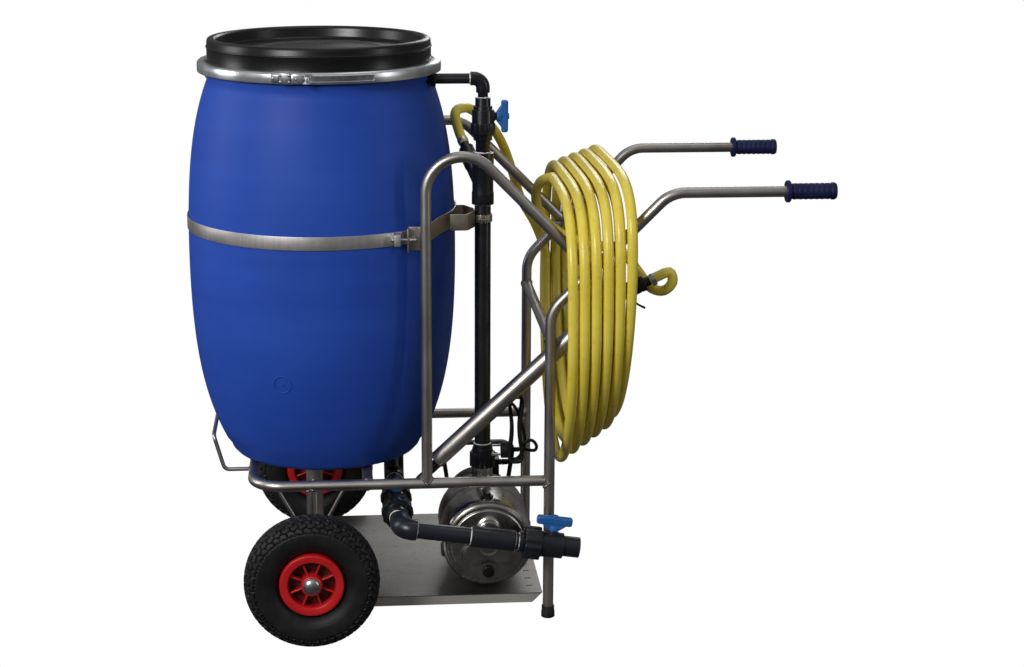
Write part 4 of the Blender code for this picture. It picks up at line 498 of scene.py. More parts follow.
def brushed_sheet(name, dark, light, rough=0.34, fold_z=None, lip_painted_reflection=(0.62, 0.585, 0.55)):
    """Cold-rolled sheet with long rolling streaks, water marks and scuffs where pumps and feet have stood.
    Below a fold it is rougher, and lighter than above it: a painted reflection of a bright floor."""
    sheet = Finish(name, light, rough + 0.08, 1.0)
    grain = sheet.noise(1.0, 4, 0.6, (10.0, 700.0, 10.0))
    stain = sheet.noise(7.0, 5, 0.65)
    scuff = sheet.noise(70.0, 2, 0.7).above(0.62, 0.74)
    colour = sheet.mix((grain * 0.4 + stain * 0.7 - scuff * 0.12).above(0.35, 0.8), dark, light)
    roughness = rough + stain * 0.22 + scuff * 0.12
    if fold_z is not None:
        # Painted reflection: below the fold the colour is lightened as if the lip mirrored a bright floor.
        fold = 1.0 - sheet.axis("Z").above(fold_z - 0.0015, fold_z)
        colour, roughness = sheet.mix(fold, colour, lip_painted_reflection), roughness + fold * 0.24
    return sheet.done(colour, roughness, grain, 0.00003, 0.6)


# The plate's solid already has its true shape, so it stays and only takes its better material.
plate_steel = brushed_sheet("base_plate_sheet", (0.15, 0.145, 0.135), (0.34, 0.325, 0.31), 0.34, PLATE_FOLD_Z)
plate_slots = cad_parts["base_plate"].data.materials
for k in range(len(plate_slots)):
    plate_slots[k] = plate_steel

# --- Grips and feet -------------------------------------------------------------------------------------
# Soft moulded sleeves pushed over the tube ends: navy grips with a hand stop at the front and shallow rings
# that fingers sit between, and black rubber ferrules with a tread on the floor.

GRIP_L, GRIP_RINGS = 0.097, 7


def soft_moulded(name, dark, light, grain=900.0):
    """Moulded rubber or soft plastic: an even colour, a fine matt grain and a little dust in it."""
    rubber = Finish(name, light, 0.5, Specular_IOR_Level=0.3)
    dust = rubber.noise(38.0, 4, 0.6)
    colour = rubber.mix(dust.above(0.35, 0.75), dark, light)
    return rubber.done(colour, 0.42 + dust * 0.22, rubber.noise(grain, 2), 0.00012, 0.35)


grip_navy = soft_moulded("grip_navy", (0.006, 0.009, 0.052), (0.012, 0.018, 0.092))
foot_black = soft_moulded("foot_black", (0.010, 0.010, 0.010), (0.028, 0.027, 0.026))
grip_z = np.linspace(0.012, 0.085, 120)
grip_r = 0.0146 + 0.0010 * np.abs(np.sin((grip_z - 0.012) / 0.073 * math.pi * GRIP_RINGS)) ** 0.6
grip = mm((0, 0), (10.6, 0), (19.5, 0), (21, 1.5), (21, 6.5), (19.5, 8), (15, 8.8))
grip += list(zip(grip_r, grip_z)) + mm((16.5, 87.5), (16.5, 92.5), (14.5, 96.2), (9, 97), (0, 97))
foot = mm((0, 0), (6, 0), (6.5, 1), (8.5, 1), (9, 0), (12.5, 0), (13.5, 1), (13.3, 12), (12.6, 13.5))
foot += mm((12.6, 22.5), (12.2, 23.8), (10.8, 24), (0, 24))
for side, end in SIDES:
    grip_skin = lathe(grip, (TIP_X - GRIP_L, side * HANDLE_Y, HANDLE_Z), ALONG_X, 64)
    piece(f"grip_moulded_{end}", [grip_skin], grip_navy, f"grip_{end}")
    foot_skin = lathe(foot, (LEG_X, side * LEG_Y, 0.0), ALONG_Z, 48)
    piece(f"foot_ferrule_{end}", [foot_skin], foot_black, f"foot_cap_{end}")

# --- Wheels ---------------------------------------------------------------------------------------------
# A pneumatic barrow tyre of 260 mm with a block tread that runs down over its shoulders, on a red moulded
# rim with a broad lip on each face, a web and eight ribs. A pressed zinc cap holds it on the axle.

WHEEL_Y, AXLE_R, WEB_R, RIB_COUNT = 0.3475, 0.0083, 0.0446, 8
TYRE_HALF_W, TYRE_MID_R, TYRE_CROWN, TYRE_BEAD, TYRE_NARROWING = 0.0388, 0.0965, 0.0325, 0.0352, 0.20
TREAD_PITCHES, TREAD_HALF_W, TREAD_ROW = 46, 0.047, 0.0117


def tyre_skin(side):
    """The tyre's wall over two angles. Its section is an oval, y = half * cos^0.78 and r = middle + crown *
    sin^0.72, or middle - bead * sin^0.55 inwards of the middle. The tread's grooves are cut into it where the
    pattern of zigzag blocks falls between two blocks, and two fine ribs stand on its wall."""
    t = np.linspace(0.0, math.tau, 150, endpoint=False)
    a = np.linspace(0.0, math.tau, 480, endpoint=False)
    cos_t, sin_t = np.cos(t), np.sin(t)
    depth = np.abs(sin_t)
    radial = TYRE_MID_R + np.where(sin_t >= 0, TYRE_CROWN * depth**0.72, -TYRE_BEAD * depth**0.55)
    across = np.sign(cos_t) * np.abs(cos_t) ** 0.78 * TYRE_HALF_W
    across *= 1 - TYRE_NARROWING * np.where(sin_t < 0, depth, 0.0)
    # Where each point of the section lies from the tread's middle line, in metres along the wall.
    step = np.hypot(np.diff(across, append=across[:1]), np.diff(radial, append=radial[:1]))
    lay = np.cumsum(step)
    lay = (lay - lay[np.argmin(np.abs(t - math.pi / 2))])[:, None]
    turn = a * TREAD_PITCHES / math.tau
    row = np.abs(lay) / TREAD_ROW + 0.34 * np.abs((turn * 2) % 2.0 - 1.0)
    column = turn + 0.5 * np.floor(row) + 0.12 * np.sign(lay)
    between_rows = np.clip((np.abs(row % 1.0 - 0.5) - 0.385) / 0.05, 0, 1)
    between_blocks = np.clip((np.abs(column % 1.0 - 0.5) - 0.395) / 0.04, 0, 1)
    tread = np.clip((TREAD_HALF_W - np.abs(lay)) / 0.003, 0.0, 1.0)
    groove_depth = 0.0042 - 0.0014 * np.clip(np.abs(lay) / 0.05, 0, 1)
    groove = np.maximum(between_rows, between_blocks) * tread * groove_depth
    ribs = 0.0004 * np.clip(1 - np.abs(radial - 0.084) / 0.0012, 0, 1)
    ribs = ribs + 0.0003 * np.clip(1 - np.abs(radial - 0.077) / 0.001, 0, 1)
    normal = unit(np.stack([-np.gradient(radial), np.gradient(across)], 1))
    outwards = normal[:, 0] * across + normal[:, 1] * (radial - TYRE_MID_R)
    normal = normal * np.where(outwards < 0, -1.0, 1.0)[:, None]
    lift = ribs[:, None] - groove
    y = side * WHEEL_Y + across[:, None] + normal[:, :1] * lift
    r = radial[:, None] + normal[:, 1:] * lift
    return grid(np.stack([r * np.cos(a), y, AXLE_Z + r * np.sin(a)], -1), closed=True)


def tyre_rubber(name):
    """Black tyre rubber gone grey on the high blocks, with yard dust in the grooves."""
    rubber = Finish(name, (0.010, 0.010, 0.011), 0.6, Specular_IOR_Level=0.35)
    dust = rubber.noise(26.0, 5, 0.65)
    colour = rubber.mix(dust.above(0.4, 0.75), (0.0045, 0.0045, 0.0055), (0.013, 0.013, 0.014))
    return rubber.done(colour, 0.46 + dust * 0.25, rubber.noise(700.0, 2), 0.00015, 0.5)


def red_moulding(name):
    """Glossy red polypropylene, a little uneven where it cooled, with black scuffs near the tyre and painted
    shade in its sunk middle: the colour darkens as the distance ||y| - WHEEL_Y| from the web falls below 24
    mm."""
    red = Finish(name, (0.55, 0.012, 0.014), 0.34)
    cloud = red.noise(16.0, 3, 0.5)
    rub = red.noise(120.0, 3, 0.7).above(0.60, 0.78)
    base = red.mix(cloud.above(0.3, 0.7), (0.48, 0.009, 0.011), (0.66, 0.016, 0.018))
    worn = red.mix(rub * 0.35, base, (0.08, 0.01, 0.01))
    # Painted shade: the rim darkens towards its web, where the sunk middle lies in shade.
    sunk_painted_shade = 1.0 - abs(abs(red.axis("Y")) - WHEEL_Y).above(0.005, 0.024)
    colour = red.mix(sunk_painted_shade * 0.86, worn, (0.055, 0.004, 0.005))
    return red.done(colour, 0.28 + cloud * 0.15 + rub * 0.15, red.noise(300.0, 2), 0.0001, 0.25)


def zinc_plate(name, scale=60.0, dark=(0.42, 0.43, 0.44), light=(0.70, 0.71, 0.71)):
    """Bright zinc: a pale grey with the faint flower-like grains of the plating."""
    zinc = Finish(name, light, 0.30, 1.0)
    grain = zinc.node("TexVoronoi", {"Vector": zinc.place(), "Scale": scale})
    cloud = zinc.noise(20.0, 4, 0.6)
    colour = zinc.mix((grain * 0.35 + cloud * 0.6).above(0.2, 0.75), dark, light)
    return zinc.done(colour, 0.20 + cloud * 0.24, cloud, 0.0001, 0.3)


def two_faced(profile):
    """A ring's profile from the half of it on one face, mirrored for the other face."""
    return profile + [(r, -h) for r, h in profile[::-1]]


rubber_tyre, rim_red = tyre_rubber("tyre_rubber"), red_moulding("rim_red")
zinc_bright = zinc_plate("zinc_bright")
barrel = mm((44, 6), (45, 26.2), (46.8, 28.8), (57.5, 30), (60.2, 29.2), (61.4, 27), (61.7, 24), (61.9, 20))
barrel = two_faced(barrel)
web = [(0.0100, 0.0030), (WEB_R, 0.0030), (WEB_R, -0.0030), (0.0100, -0.0030)]
boss = mm((8.3, -33), (18, -33), (20, -31), (21.5, -10), (22.5, 0), (21.5, 10), (20, 31), (18, 33), (8.3, 33))
hub_cap = mm((0, 7.8), (3.5, 7.6), (7.5, 6.8), (11.5, 5.2), (14.5, 3), (15.6, 1.2), (16.6, 0.9), (16.8, 0))
hub_cap += [(AXLE_R, 0.0), (AXLE_R, 0.0012), (0.0, 0.0013)]
for side, end in SIDES:
    hub, out, wheel = np.array([0, side * WHEEL_Y, AXLE_Z]), ALONG_Y * side, f"wheel_{end}"
    piece(f"tyre_tread_{end}", [tyre_skin(side)], rubber_tyre, f"tyre_{end}", wheel, 50)
    skins = [
        lathe(barrel, hub, out, 96, True, 0.0012),
        lathe(web, hub, out, 72, True),
        lathe(boss, hub, out, 72, True, 0.0012),
    ]
    for k in range(RIB_COUNT):
        angle = 360 * (k + 0.5) / RIB_COUNT
        rib_turn = np.stack([rising(angle), rising(angle + 90), ALONG_Y], 1)
        skins.append(box((0.0290, 0.0036, 0.0420), hub + rising(angle) * 0.0315, 0.0014, rib_turn))
    piece(f"rim_moulded_{end}", skins, rim_red, f"rim_{end}", wheel)
    cap = lathe(hub_cap, (0, side * 0.3808, AXLE_Z), out, 64)
    piece(f"hub_cap_domed_{end}", [cap], zinc_bright, f"hub_cap_{end}")

# --- Drum -----------------------------------------------------------------------------------------------
# A blown polyethylene drum of about 150 litres, open at the top: a barrel-shaped wall that is widest a little
# above half way up, a rounded foot and a thick rim that the lid's ring grips.

DRUM_X, DRUM_BELLY_R, DRUM_BELLY_Z, DRUM_WALL = 0.030, 0.2642, 0.7018, 0.0036
DRUM_SQUARE, DRUM_FOURTH, DRUM_SIDES = 0.2006, 1.6032, 160
DRUM_AXIS = (DRUM_X, 0, 0)
MARK_ANGLE, MARK_Z, MARK_R = -108.5, 0.487, 0.017


def drum_radius(z):
    """Wall radius at a height: widest at the belly, falling off with the square and the fourth power."""
    rise = np.asarray(z, float) - DRUM_BELLY_Z
    return DRUM_BELLY_R - DRUM_SQUARE * rise**2 - DRUM_FOURTH * rise**4


def drum_plastic(name):
    """Deep blue polyethylene with a satin skin: faint mould bands round it, scuffs and a soft orange peel."""
    blue = Finish(name, (0.016, 0.075, 0.44), 0.50, Specular_IOR_Level=0.2)
    bands = blue.noise(1.0, 3, 0.55, (1.5, 1.5, 26.0))
    cloud = blue.noise(4.5, 4, 0.6)
    scratch = blue.noise(1.0, 3, 0.75, (30.0, 30.0, 260.0)).above(0.66, 0.74)
    tone = (bands * 0.4 + cloud * 0.6).above(0.3, 0.72)
    base = blue.mix(tone, (0.014, 0.056, 0.355), (0.022, 0.082, 0.455))
    colour = blue.mix(scratch * 0.10, base, (0.10, 0.17, 0.45))
    peel = blue.noise(240.0, 2) * 0.7 + bands * 1.2
    return blue.done(colour, 0.46 + cloud * 0.16 + scratch * 0.12, peel, 0.00035, 0.35)


wall_z = np.linspace(0.3258, 1.044, 44)
drum = mm((0, 293.2), (120, 293.2), (140, 292), (160, 291.8), (174, 292.6), (184, 296.5), (190.5, 303.5))
drum += mm((194.5, 313)) + list(zip(drum_radius(wall_z), wall_z))
drum += mm((223.2, 1050), (221.5, 1054.5), (221.5, 1058.8), (226.2, 1060), (227.5, 1061.5), (227.5, 1066.5))
drum += mm((226.2, 1068), (207.5, 1068), (205.2, 1066.5), (205, 1052), (212, 1044))
drum += list(zip(drum_radius(wall_z[::-3]) - DRUM_WALL, wall_z[::-3]))
drum += mm((180, 301), (168, 295.8), (0, 295.8))
drum_blue = drum_plastic("drum_blue")
piece("drum_blown", [lathe(drum, DRUM_AXIS, ALONG_Z, DRUM_SIDES)], drum_blue, "drum", sharp=60)

# The round mark that the mould leaves low on the front: a plain ring with a small pip in it.
centre = DRUM_AXIS + spoke(MARK_ANGLE) * drum_radius(MARK_Z) + ALONG_Z * MARK_Z
outward = unit(spoke(MARK_ANGLE) - ALONG_Z * 0.17)
level = unit(np.cross(outward, ALONG_Z))
mark_line = centre + MARK_R * circle(level, np.cross(level, outward), 72) + outward * 0.0001
mark_skins = [
    pipe(mark_line, 0.0011, 10, outward, closed=True),
    lathe(mm((0, 1.2), (3.5, 0.9), (4.2, -1), (0, -1)), centre, outward, 24),
]
piece("drum_mould_mark", mark_skins, drum_blue)

# --- Lid and closing ring -------------------------------------------------------------------------------
# A black lid with a raised rim and a sunk panel, held by a galvanised steel hoop of U section that an
# over-centre lever pulls tight at the front.

LID_RIBS = 12
RING_R, RING_MID_Z, RING_SEAM_ANGLE = 0.2370, 1.0687, 88.0
LATCH_PIN_ANGLE, BUCKLE_ANGLE, LEVER_END_ANGLE = -95.0, -102.5, -65.0
LEVER_STEPS, LEVER_HALF_H, LEVER_GAUGE = 44, 0.0056, 0.0008

lid = mm((0, 1101.2), (80, 1101.2), (84, 1100), (118, 1100), (122, 1101.2), (138, 1101.2), (142, 1099))
lid += mm((186, 1098.6), (196.5, 1099.2), (199, 1102), (200.3, 1118), (202.5, 1121.2), (206, 1122.6))
lid += mm((212, 1122.6), (215.5, 1121), (217.2, 1117.5), (218, 1108), (219.4, 1106.6), (219.4, 1104.6))
lid += mm((218, 1103.4), (218, 1080), (219, 1077.6), (226.2, 1077.6), (228, 1076.5), (228, 1072.2))
lid += mm((227, 1071.6), (214.5, 1071.6), (214.5, 1116.5), (204, 1117.2), (202.5, 1096.5), (0, 1096.5))
lid_skins = [lathe(lid, DRUM_AXIS, ALONG_Z, DRUM_SIDES, ease=0.0012)]
for k in range(LID_RIBS):
    ray = spoke(360 * k / LID_RIBS)
    inner, outer = (DRUM_AXIS + ray * r + ALONG_Z * z for r, z in mm((146, 1098.8), (184, 1098.4)))
    lid_skins.append(pipe(np.linspace(inner, outer, 8), 0.0024, 14, ALONG_Z, squash=0.5))


def black_moulding(name, gloss=0.27):
    """Black polyethylene: a soft sheen, pale scuffs on what sticks out, a film of dust on what faces up."""
    black = Finish(name, (0.007, 0.007, 0.008), gloss, Specular_IOR_Level=0.4)
    cloud = black.noise(9.0, 5, 0.6)
    scuff = black.noise(55.0, 3, 0.75).above(0.60, 0.76)
    normal = black.node("NewGeometry", output="Normal")
    facing_up = black.node("SeparateXYZ", {"Vector": normal}, "Z").clamped()
    film = (cloud.above(0.35, 0.75) * facing_up * 0.5 + scuff * 0.16).clamped()
    colour = black.mix(film, (0.0045, 0.0045, 0.0052), (0.030, 0.031, 0.035))
    return black.done(colour, gloss - 0.04 + cloud * 0.16 + film * 0.18, black.noise(420.0, 2), 0.0001, 0.3)


piece("lid_moulded", lid_skins, black_moulding("lid_black"), "lid", "lid", 50)
gasket = mm((212, 1068.5), (225.5, 1068.5), (225.5, 1071.1), (212, 1071.1))
gasket_skin = lathe(gasket, DRUM_AXIS, ALONG_Z, DRUM_SIDES, True, 0.0008)
piece("lid_gasket_ring", [gasket_skin], foot_black, "lid_gasket", "lid")


def on_ring(angle, out=0.0, rise=0.0):
    """A point outside the closing ring at this angle, and the turn that sets a block flat against it."""
    point = DRUM_AXIS + spoke(angle) * (RING_R + out) + ALONG_Z * (RING_MID_Z + rise)
    return point, turned(angle + 90, ALONG_Z)


# The ring's U section, and its own seam at the back, where its two ends were spot welded over each other.
ring = mm((237, 1058.9), (237.4, 1068.6), (237, 1075.9), (234, 1079.4), (222.5, 1079.4), (222, 1077.9))
ring += mm((234.5, 1077.8), (235.4, 1074), (235.4, 1059.7), (229, 1059.4), (229, 1057.9))
seam_at, seam_turn = on_ring(RING_SEAM_ANGLE, 0.0008)
ring_skins = [
    lathe(ring, DRUM_AXIS, ALONG_Z, DRUM_SIDES, True, 0.0005),
    box((0.030, 0.0014, 0.0180), seam_at, 0.0006, seam_turn),
]
galvanised = zinc_plate("ring_galvanised", 34.0, (0.62, 0.64, 0.68), (0.88, 0.90, 0.93))
# The second zinc is a darker copy of the ring's own, a painted shade for the lever's strip and the buckle.
zinc_painted_shade = zinc_plate("zinc_painted_shade", 90.0, (0.26, 0.27, 0.29), (0.62, 0.63, 0.65))
piece("closing_ring_rolled", ring_skins, galvanised, "closing_ring", "lid")

# The buckle: three plates with six rivets, and two ears that hold the lever's pin.
pin_at, pin_turn = on_ring(LATCH_PIN_ANGLE, 0.0045)
buckle_skins = []
for step, width, out, height in (
    (-7.2, 0.016, 0.0016, 0.0150),
    (-2.6, 0.022, 0.0022, 0.0205),
    (3.4, 0.020, 0.0020, 0.0185),
):
    at, turn = on_ring(BUCKLE_ANGLE + step, out)
    buckle_skins.append(box((width, 0.0030, height), at, 0.0011, turn))
rivet = mm((0, 1.8), (1.8, 1.4), (2.9, 0), (2.9, -1), (0, -1))
for step, rise in ((-8.0, 0.0), (-4.6, 0.0055), (-4.6, -0.0055), (-0.6, 0.0060), (-0.6, -0.0060), (2.6, 0.0)):
    at = on_ring(BUCKLE_ANGLE + step, 0.0037, rise)[0]
    buckle_skins.append(lathe(rivet, at, spoke(BUCKLE_ANGLE + step), 24))
for way in (-1, 1):
    buckle_skins.append(box((0.016, 0.010, 0.0018), pin_at + ALONG_Z * way * 0.0080, 0.0006, pin_turn))
buckle_skins.append(straight((*pin_at[:2], 1.0590), (*pin_at[:2], 1.0784), 0.0021, 20, 0.0005))
# The buckle is in the darker zinc, a painted shade.
piece("ring_buckle", buckle_skins, zinc_painted_shade, body="lid")

# The lever: a strip curved to the ring, with a rolled edge right round it that ends in a turned-out lip.
lever_angle = np.radians(np.linspace(LATCH_PIN_ANGLE + 1.1, LEVER_END_ANGLE, LEVER_STEPS))
lip = 0.0016 + 0.0040 * np.clip((np.linspace(0, 1, LEVER_STEPS) - 0.90) / 0.10, 0, 1) ** 2
strip = np.empty((LEVER_STEPS, 4, 3))
for k, (out, rise) in enumerate(((0, -1), (LEVER_GAUGE, -1), (LEVER_GAUGE, 1), (0, 1))):
    reach = RING_R + lip + out
    strip[:, k, 0] = DRUM_X + reach * np.cos(lever_angle)
    strip[:, k, 1] = reach * np.sin(lever_angle)
    strip[:, k, 2] = RING_MID_Z + rise * LEVER_HALF_H
# The strip is in the darker zinc: painted shade inside the bright rolled edge.
piece("ring_lever_strip", [grid(strip)], zinc_painted_shade, "ring_lever", "ring_lever", 28)
low_edge, high_edge = strip[:, :2].mean(1), strip[:, 2:].mean(1)
outline = [low_edge[0], *low_edge[6:-3:6], low_edge[-1], high_edge[-1], *high_edge[-4:3:-6], high_edge[0]]
lever_eye = mm((2.3, 1064), (4, 1064), (4, 1073.4), (2.3, 1073.4))
lever_skins = [
    pipe(rounded(outline, 0.004, 12.0, True), 0.0012, 12, spoke(math.degrees(-1.4)), closed=True),
    lathe(lever_eye, (*pin_at[:2], 0.0), ALONG_Z, 28, True, 0.0004),
]
piece("ring_lever_edge", lever_skins, galvanised, body="ring_lever")

# --- Strap and riser bracket ----------------------------------------------------------------------------
# A flat stainless band round the drum with a lug welded on each end, drawn to the hoops by two bolts, and
# behind the drum a second band with a hat-shaped strip that carries the riser's clamp.

STRAP_HALF_W, STRAP_GAUGE, LUG_X, BOLT_Y, NUT_FLATS = 0.013, 0.002, 0.1655, 0.237, 0.0092
STRAP_R = float(drum_radius(STRAP_Z - STRAP_HALF_W)) + GAP
RISER_X, RISER_Y, PIPE_R = 0.345, -0.070, 0.016
CRADLE_LOW_Z, CRADLE_HIGH_Z, CRADLE_GAUGE, HAT_HALF_W, CLAMP_Z = 0.757, 0.791, 0.003, 0.0485, 0.774


def band(path, gauge, low, high, ease=0.0006):
    """A strip on edge along a line of (x, y) points: its section is a thin upright rectangle with round
    edges, moved along the line and kept square to it."""
    path = np.asarray(path, float)
    ahead = unit(np.gradient(path, axis=0))
    out = np.stack([ahead[:, 1], -ahead[:, 0]], 1)
    section = eased([(0.0, low), (gauge, low), (gauge, high), (0.0, high)], ease, True, 30.0)
    points = np.empty((len(path), len(section), 3))
    points[..., :2] = path[:, None] + out[:, None] * section[:, :1]
    points[..., 2] = section[:, 1]
    return grid(points)


def around_drum(radius, first, last, count):
    """Level points round the drum's axis between two angles in degrees."""
    return [(DRUM_AXIS + spoke(angle) * radius)[:2] for angle in np.linspace(first, last, count)]


def hexagon(start, end, across_flats, chamfer=0.0006):
    """A six-sided nut or bolt head between two points, its corners turned down at both ends."""
    return straight(start, end, across_flats / math.sqrt(3), 6, chamfer)


strap_line = around_drum(STRAP_R, 50.0, 310.0, 180)
strap_skins = [band(strap_line, STRAP_GAUGE, STRAP_Z - STRAP_HALF_W, STRAP_Z + STRAP_HALF_W)]
bead_skins = []
low_y = math.sqrt((STRAP_R + STRAP_GAUGE) ** 2 - (LUG_X - DRUM_X) ** 2) - 0.002
for side in (-1, 1):
    lug_at = (LUG_X + 0.006, side * (low_y + 0.01025), STRAP_Z)
    strap_skins.append(box((0.012, 0.0205, 0.022), lug_at, 0.0012))
    for way in (-1, 1):
        height = STRAP_Z + way * 0.0112
        start = (LUG_X + 0.0005, side * (low_y + 0.0025), height)
        stop = (LUG_X + 0.0115, side * (low_y - 0.0085), height)
        bead = 0.0011 + 0.0003 * np.sin(np.arange(30) * 1.3)
        bead_skins.append(pipe(np.linspace(start, stop, 30), bead, 10))
strap_steel = brushed_sheet("strap_stainless", (0.46, 0.44, 0.43), (0.80, 0.78, 0.76))
piece("drum_strap_band", strap_skins, strap_steel, "drum_strap")
piece("strap_lug_welds", bead_skins, steel_bead)

for side, end in SIDES:
    y = side * BOLT_Y
    turns = np.linspace(0.0, math.tau * 9, 160)
    screw_x = 0.1975 + np.linspace(0.0, 0.0090, 160)
    screw = np.stack([screw_x, y + 0.0030 * np.cos(turns), STRAP_Z + 0.0030 * np.sin(turns)], 1)
    bolt = [
        hexagon((LUG_X - 0.0043, y, STRAP_Z), (LUG_X - GAP, y, STRAP_Z), NUT_FLATS),
        straight((LUG_X - 0.001, y, STRAP_Z), (0.2073, y, STRAP_Z), 0.003, 24),
        hexagon((0.1933, y, STRAP_Z), (0.1973, y, STRAP_Z), NUT_FLATS),
        pipe(screw, 0.00035, 6, ALONG_X),
    ]
    piece(f"strap_bolt_hex_{end}", bolt, zinc_bright, f"strap_bolt_{end}", sharp=28)

cradle_r = float(drum_radius(CRADLE_LOW_Z)) + 0.0004
cradle = [(x, y, 0.0) for x, y in around_drum(cradle_r, -30.0, 30.0, 60)]
end_x, end_y = HOOP_X + 0.002, RAIL_Y - 0.009
cradle = [(end_x, -end_y, 0.0), cradle[0], *cradle[5:-5:6], cradle[-1], (end_x, end_y, 0.0)]
hat_back = DRUM_X + cradle_r * math.cos(math.radians(20.0))
hat_front = RISER_X - PIPE_R - 0.0028
hat = [(hat_back, -HAT_HALF_W, 0.0), (hat_back + 0.032, -HAT_HALF_W, 0.0), (hat_front, -0.0125, 0.0)]
hat += [(hat_front, 0.0125, 0.0), (hat_back + 0.032, HAT_HALF_W, 0.0), (hat_back + 0.017, HAT_HALF_W, 0.0)]
hat_line = rounded(hat, 0.006, 10.0)[:, :2] + (0.0, RISER_Y)
inner, outer = PIPE_R + 0.0004, PIPE_R + 0.0029
clamp = [(inner, -0.0075), (outer, -0.0075), (outer, 0.0075), (inner, 0.0075)]
jaw = np.array([RISER_X, RISER_Y - 0.0235, CLAMP_Z])
bracket_skins = [
    band(rounded(cradle, 0.02)[:, :2], CRADLE_GAUGE, CRADLE_LOW_Z, CRADLE_HIGH_Z),
    band(hat_line, CRADLE_GAUGE, CRADLE_LOW_Z + 0.001, CRADLE_HIGH_Z - 0.001),
    lathe(clamp, (RISER_X, RISER_Y, CLAMP_Z), ALONG_Z, 64, True, 0.0006),
    box((0.0022, 0.0110, 0.015), jaw - ALONG_X * 0.0035, 0.0007),
    box((0.0022, 0.0110, 0.015), jaw + ALONG_X * 0.0035, 0.0007),
    straight(jaw - ALONG_X * 0.0105, jaw + ALONG_X * 0.0105, 0.0022, 20),
    hexagon(jaw - ALONG_X * 0.0105, jaw - ALONG_X * 0.0068, 0.0070),
]
bracket_steel = brushed_sheet("bracket_stainless", (0.30, 0.235, 0.19), (0.66, 0.60, 0.53))
piece("riser_bracket_formed", bracket_skins, bracket_steel, "riser_bracket", sharp=30)

# --- Pump and motor -------------------------------------------------------------------------------------
# A deep-drawn stainless pump case with a pressed front, screwed to a black electric motor that stands on
# its own foot, with a square terminal box above and a flat carrying arch over its back.

PUMP_Z, PUMP_FRONT_Y, PUMP_R, PORT_Z, FILLER_Y = 0.149, -0.238, 0.090, 0.181, -0.205
COVER_R, COVER_ROWS, COVER_COLUMNS, BOSS_R, BOSS_ARM = 0.0740, 70, 240, 0.0440, 0.0130
ROTOR_Y, VANE_COUNT = -0.158, 6
MOTOR_START_Y, MOTOR_END_Y, FIN_COUNT = -0.0397, 0.080, 44
COWL_BAR_STEP, COWL_BAR_REACH = 0.0095, 0.0480
FOOT_Y = MOTOR_START_Y + 0.1197 * 0.45
TERMINAL_X, TERMINAL_Y = 0.360, 0.025
GLAND_AT = np.array([0.393, TERMINAL_Y, 0.236])
ARCH_Y, ARCH_TOP_Z, ARCH_HALF_W, ARCH_HALF_T = MOTOR_END_Y - 0.013, 0.2665, 0.011, 0.00451


def polished_steel(name):
    """Deep-drawn stainless, nearly a mirror: faint draw lines round it, water spots and finger marks."""
    steel = Finish(name, (0.50, 0.47, 0.44), 0.2, 1.0)
    draw = steel.noise(1.0, 3, 0.5, (9.0, 240.0, 9.0))
    marks = steel.noise(17.0, 5, 0.65)
    spots = steel.noise(160.0, 2, 0.6).above(0.66, 0.78)
    colour = steel.mix(marks.above(0.35, 0.75), (0.36, 0.335, 0.31), (0.60, 0.57, 0.54))
    return steel.done(colour, 0.14 + marks * 0.20 + spots * 0.10 + draw * 0.04, marks, 0.0006, 0.25)


steel_pump = polished_steel("pump_polished")
plug_black, motor_black = black_moulding("plug_black", 0.30), black_moulding("motor_black", 0.42)

pump_at = (RISER_X, PUMP_FRONT_Y, PUMP_Z)
case = mm((72, 10), (78, 10), (83, 12), (88, 18), (90, 25), (90, 112), (89.3, 112.8), (89.3, 115.2))
case += mm((90, 116), (90, 184), (88, 192), (82, 197.6), (6.5, 197.6), (6.5, 194))
case += mm((86, 188), (86.8, 28), (72, 16))
neck = mm((0, 222), (21.5, 230.5), (21.5, 244), (21, 245.5), (21, 259), (20, 260.2), (0, 260.2))
filler_boss = mm((0, -2), (14, -2), (16, 0.2), (0, 0.2))
case_skins = [
    lathe(case, pump_at, ALONG_Y, 120, True, 0.0015),
    lathe(neck, (RISER_X, RISER_Y, 0.0), ALONG_Z, ease=0.001),
    lathe(filler_boss, (RISER_X, FILLER_Y, PUMP_Z + PUMP_R), ALONG_Z, 48),
]
piece("pump_case_drawn", case_skins, steel_pump, "pump_body", sharp=40)


def disc_points(radius, angle, y):
    """Points at these radii and angles round the pump's axis, this far along it."""
    return np.stack([RISER_X + radius * np.cos(angle), y + 0 * radius, PUMP_Z + radius * np.sin(angle)], -1)


# The front: a disc pressed out into a three-armed boss whose edge rises by a smooth step.
share = np.linspace(0.0, 1.0, COVER_ROWS)[:, None]
angle = np.linspace(0.0, math.tau, COVER_COLUMNS, endpoint=False)
radius = COVER_R * share + 0 * angle
lobed = BOSS_R + BOSS_ARM * np.cos(3 * (angle - math.pi / 2))
inside = 1 / (1 + np.exp(np.clip((radius - lobed) / 0.0016, -30, 30)))
crease = 0.0012 * np.exp(-(((radius - 0.020) / 0.003) ** 2))
height = 0.0052 * inside + 0.0020 * (1 - share**2) * (1 - inside) + crease
depth = 0.0036 - height + 0.0030 * np.clip((share - 0.955) / 0.045, 0, 1) ** 2
front = disc_points(radius, angle, PUMP_FRONT_Y + depth)
back = disc_points(radius[-1:], angle, PUMP_FRONT_Y + 0.0097)
flange = mm((72.5, 7.5), (79.5, 7.5), (80.5, 8.5), (80.5, 9.8), (72.5, 9.8))
port = mm((0, 6), (22.5, 4), (22.5, -5), (21.5, -6.2), (21.5, -11.2), (20.5, -12), (0, -12))
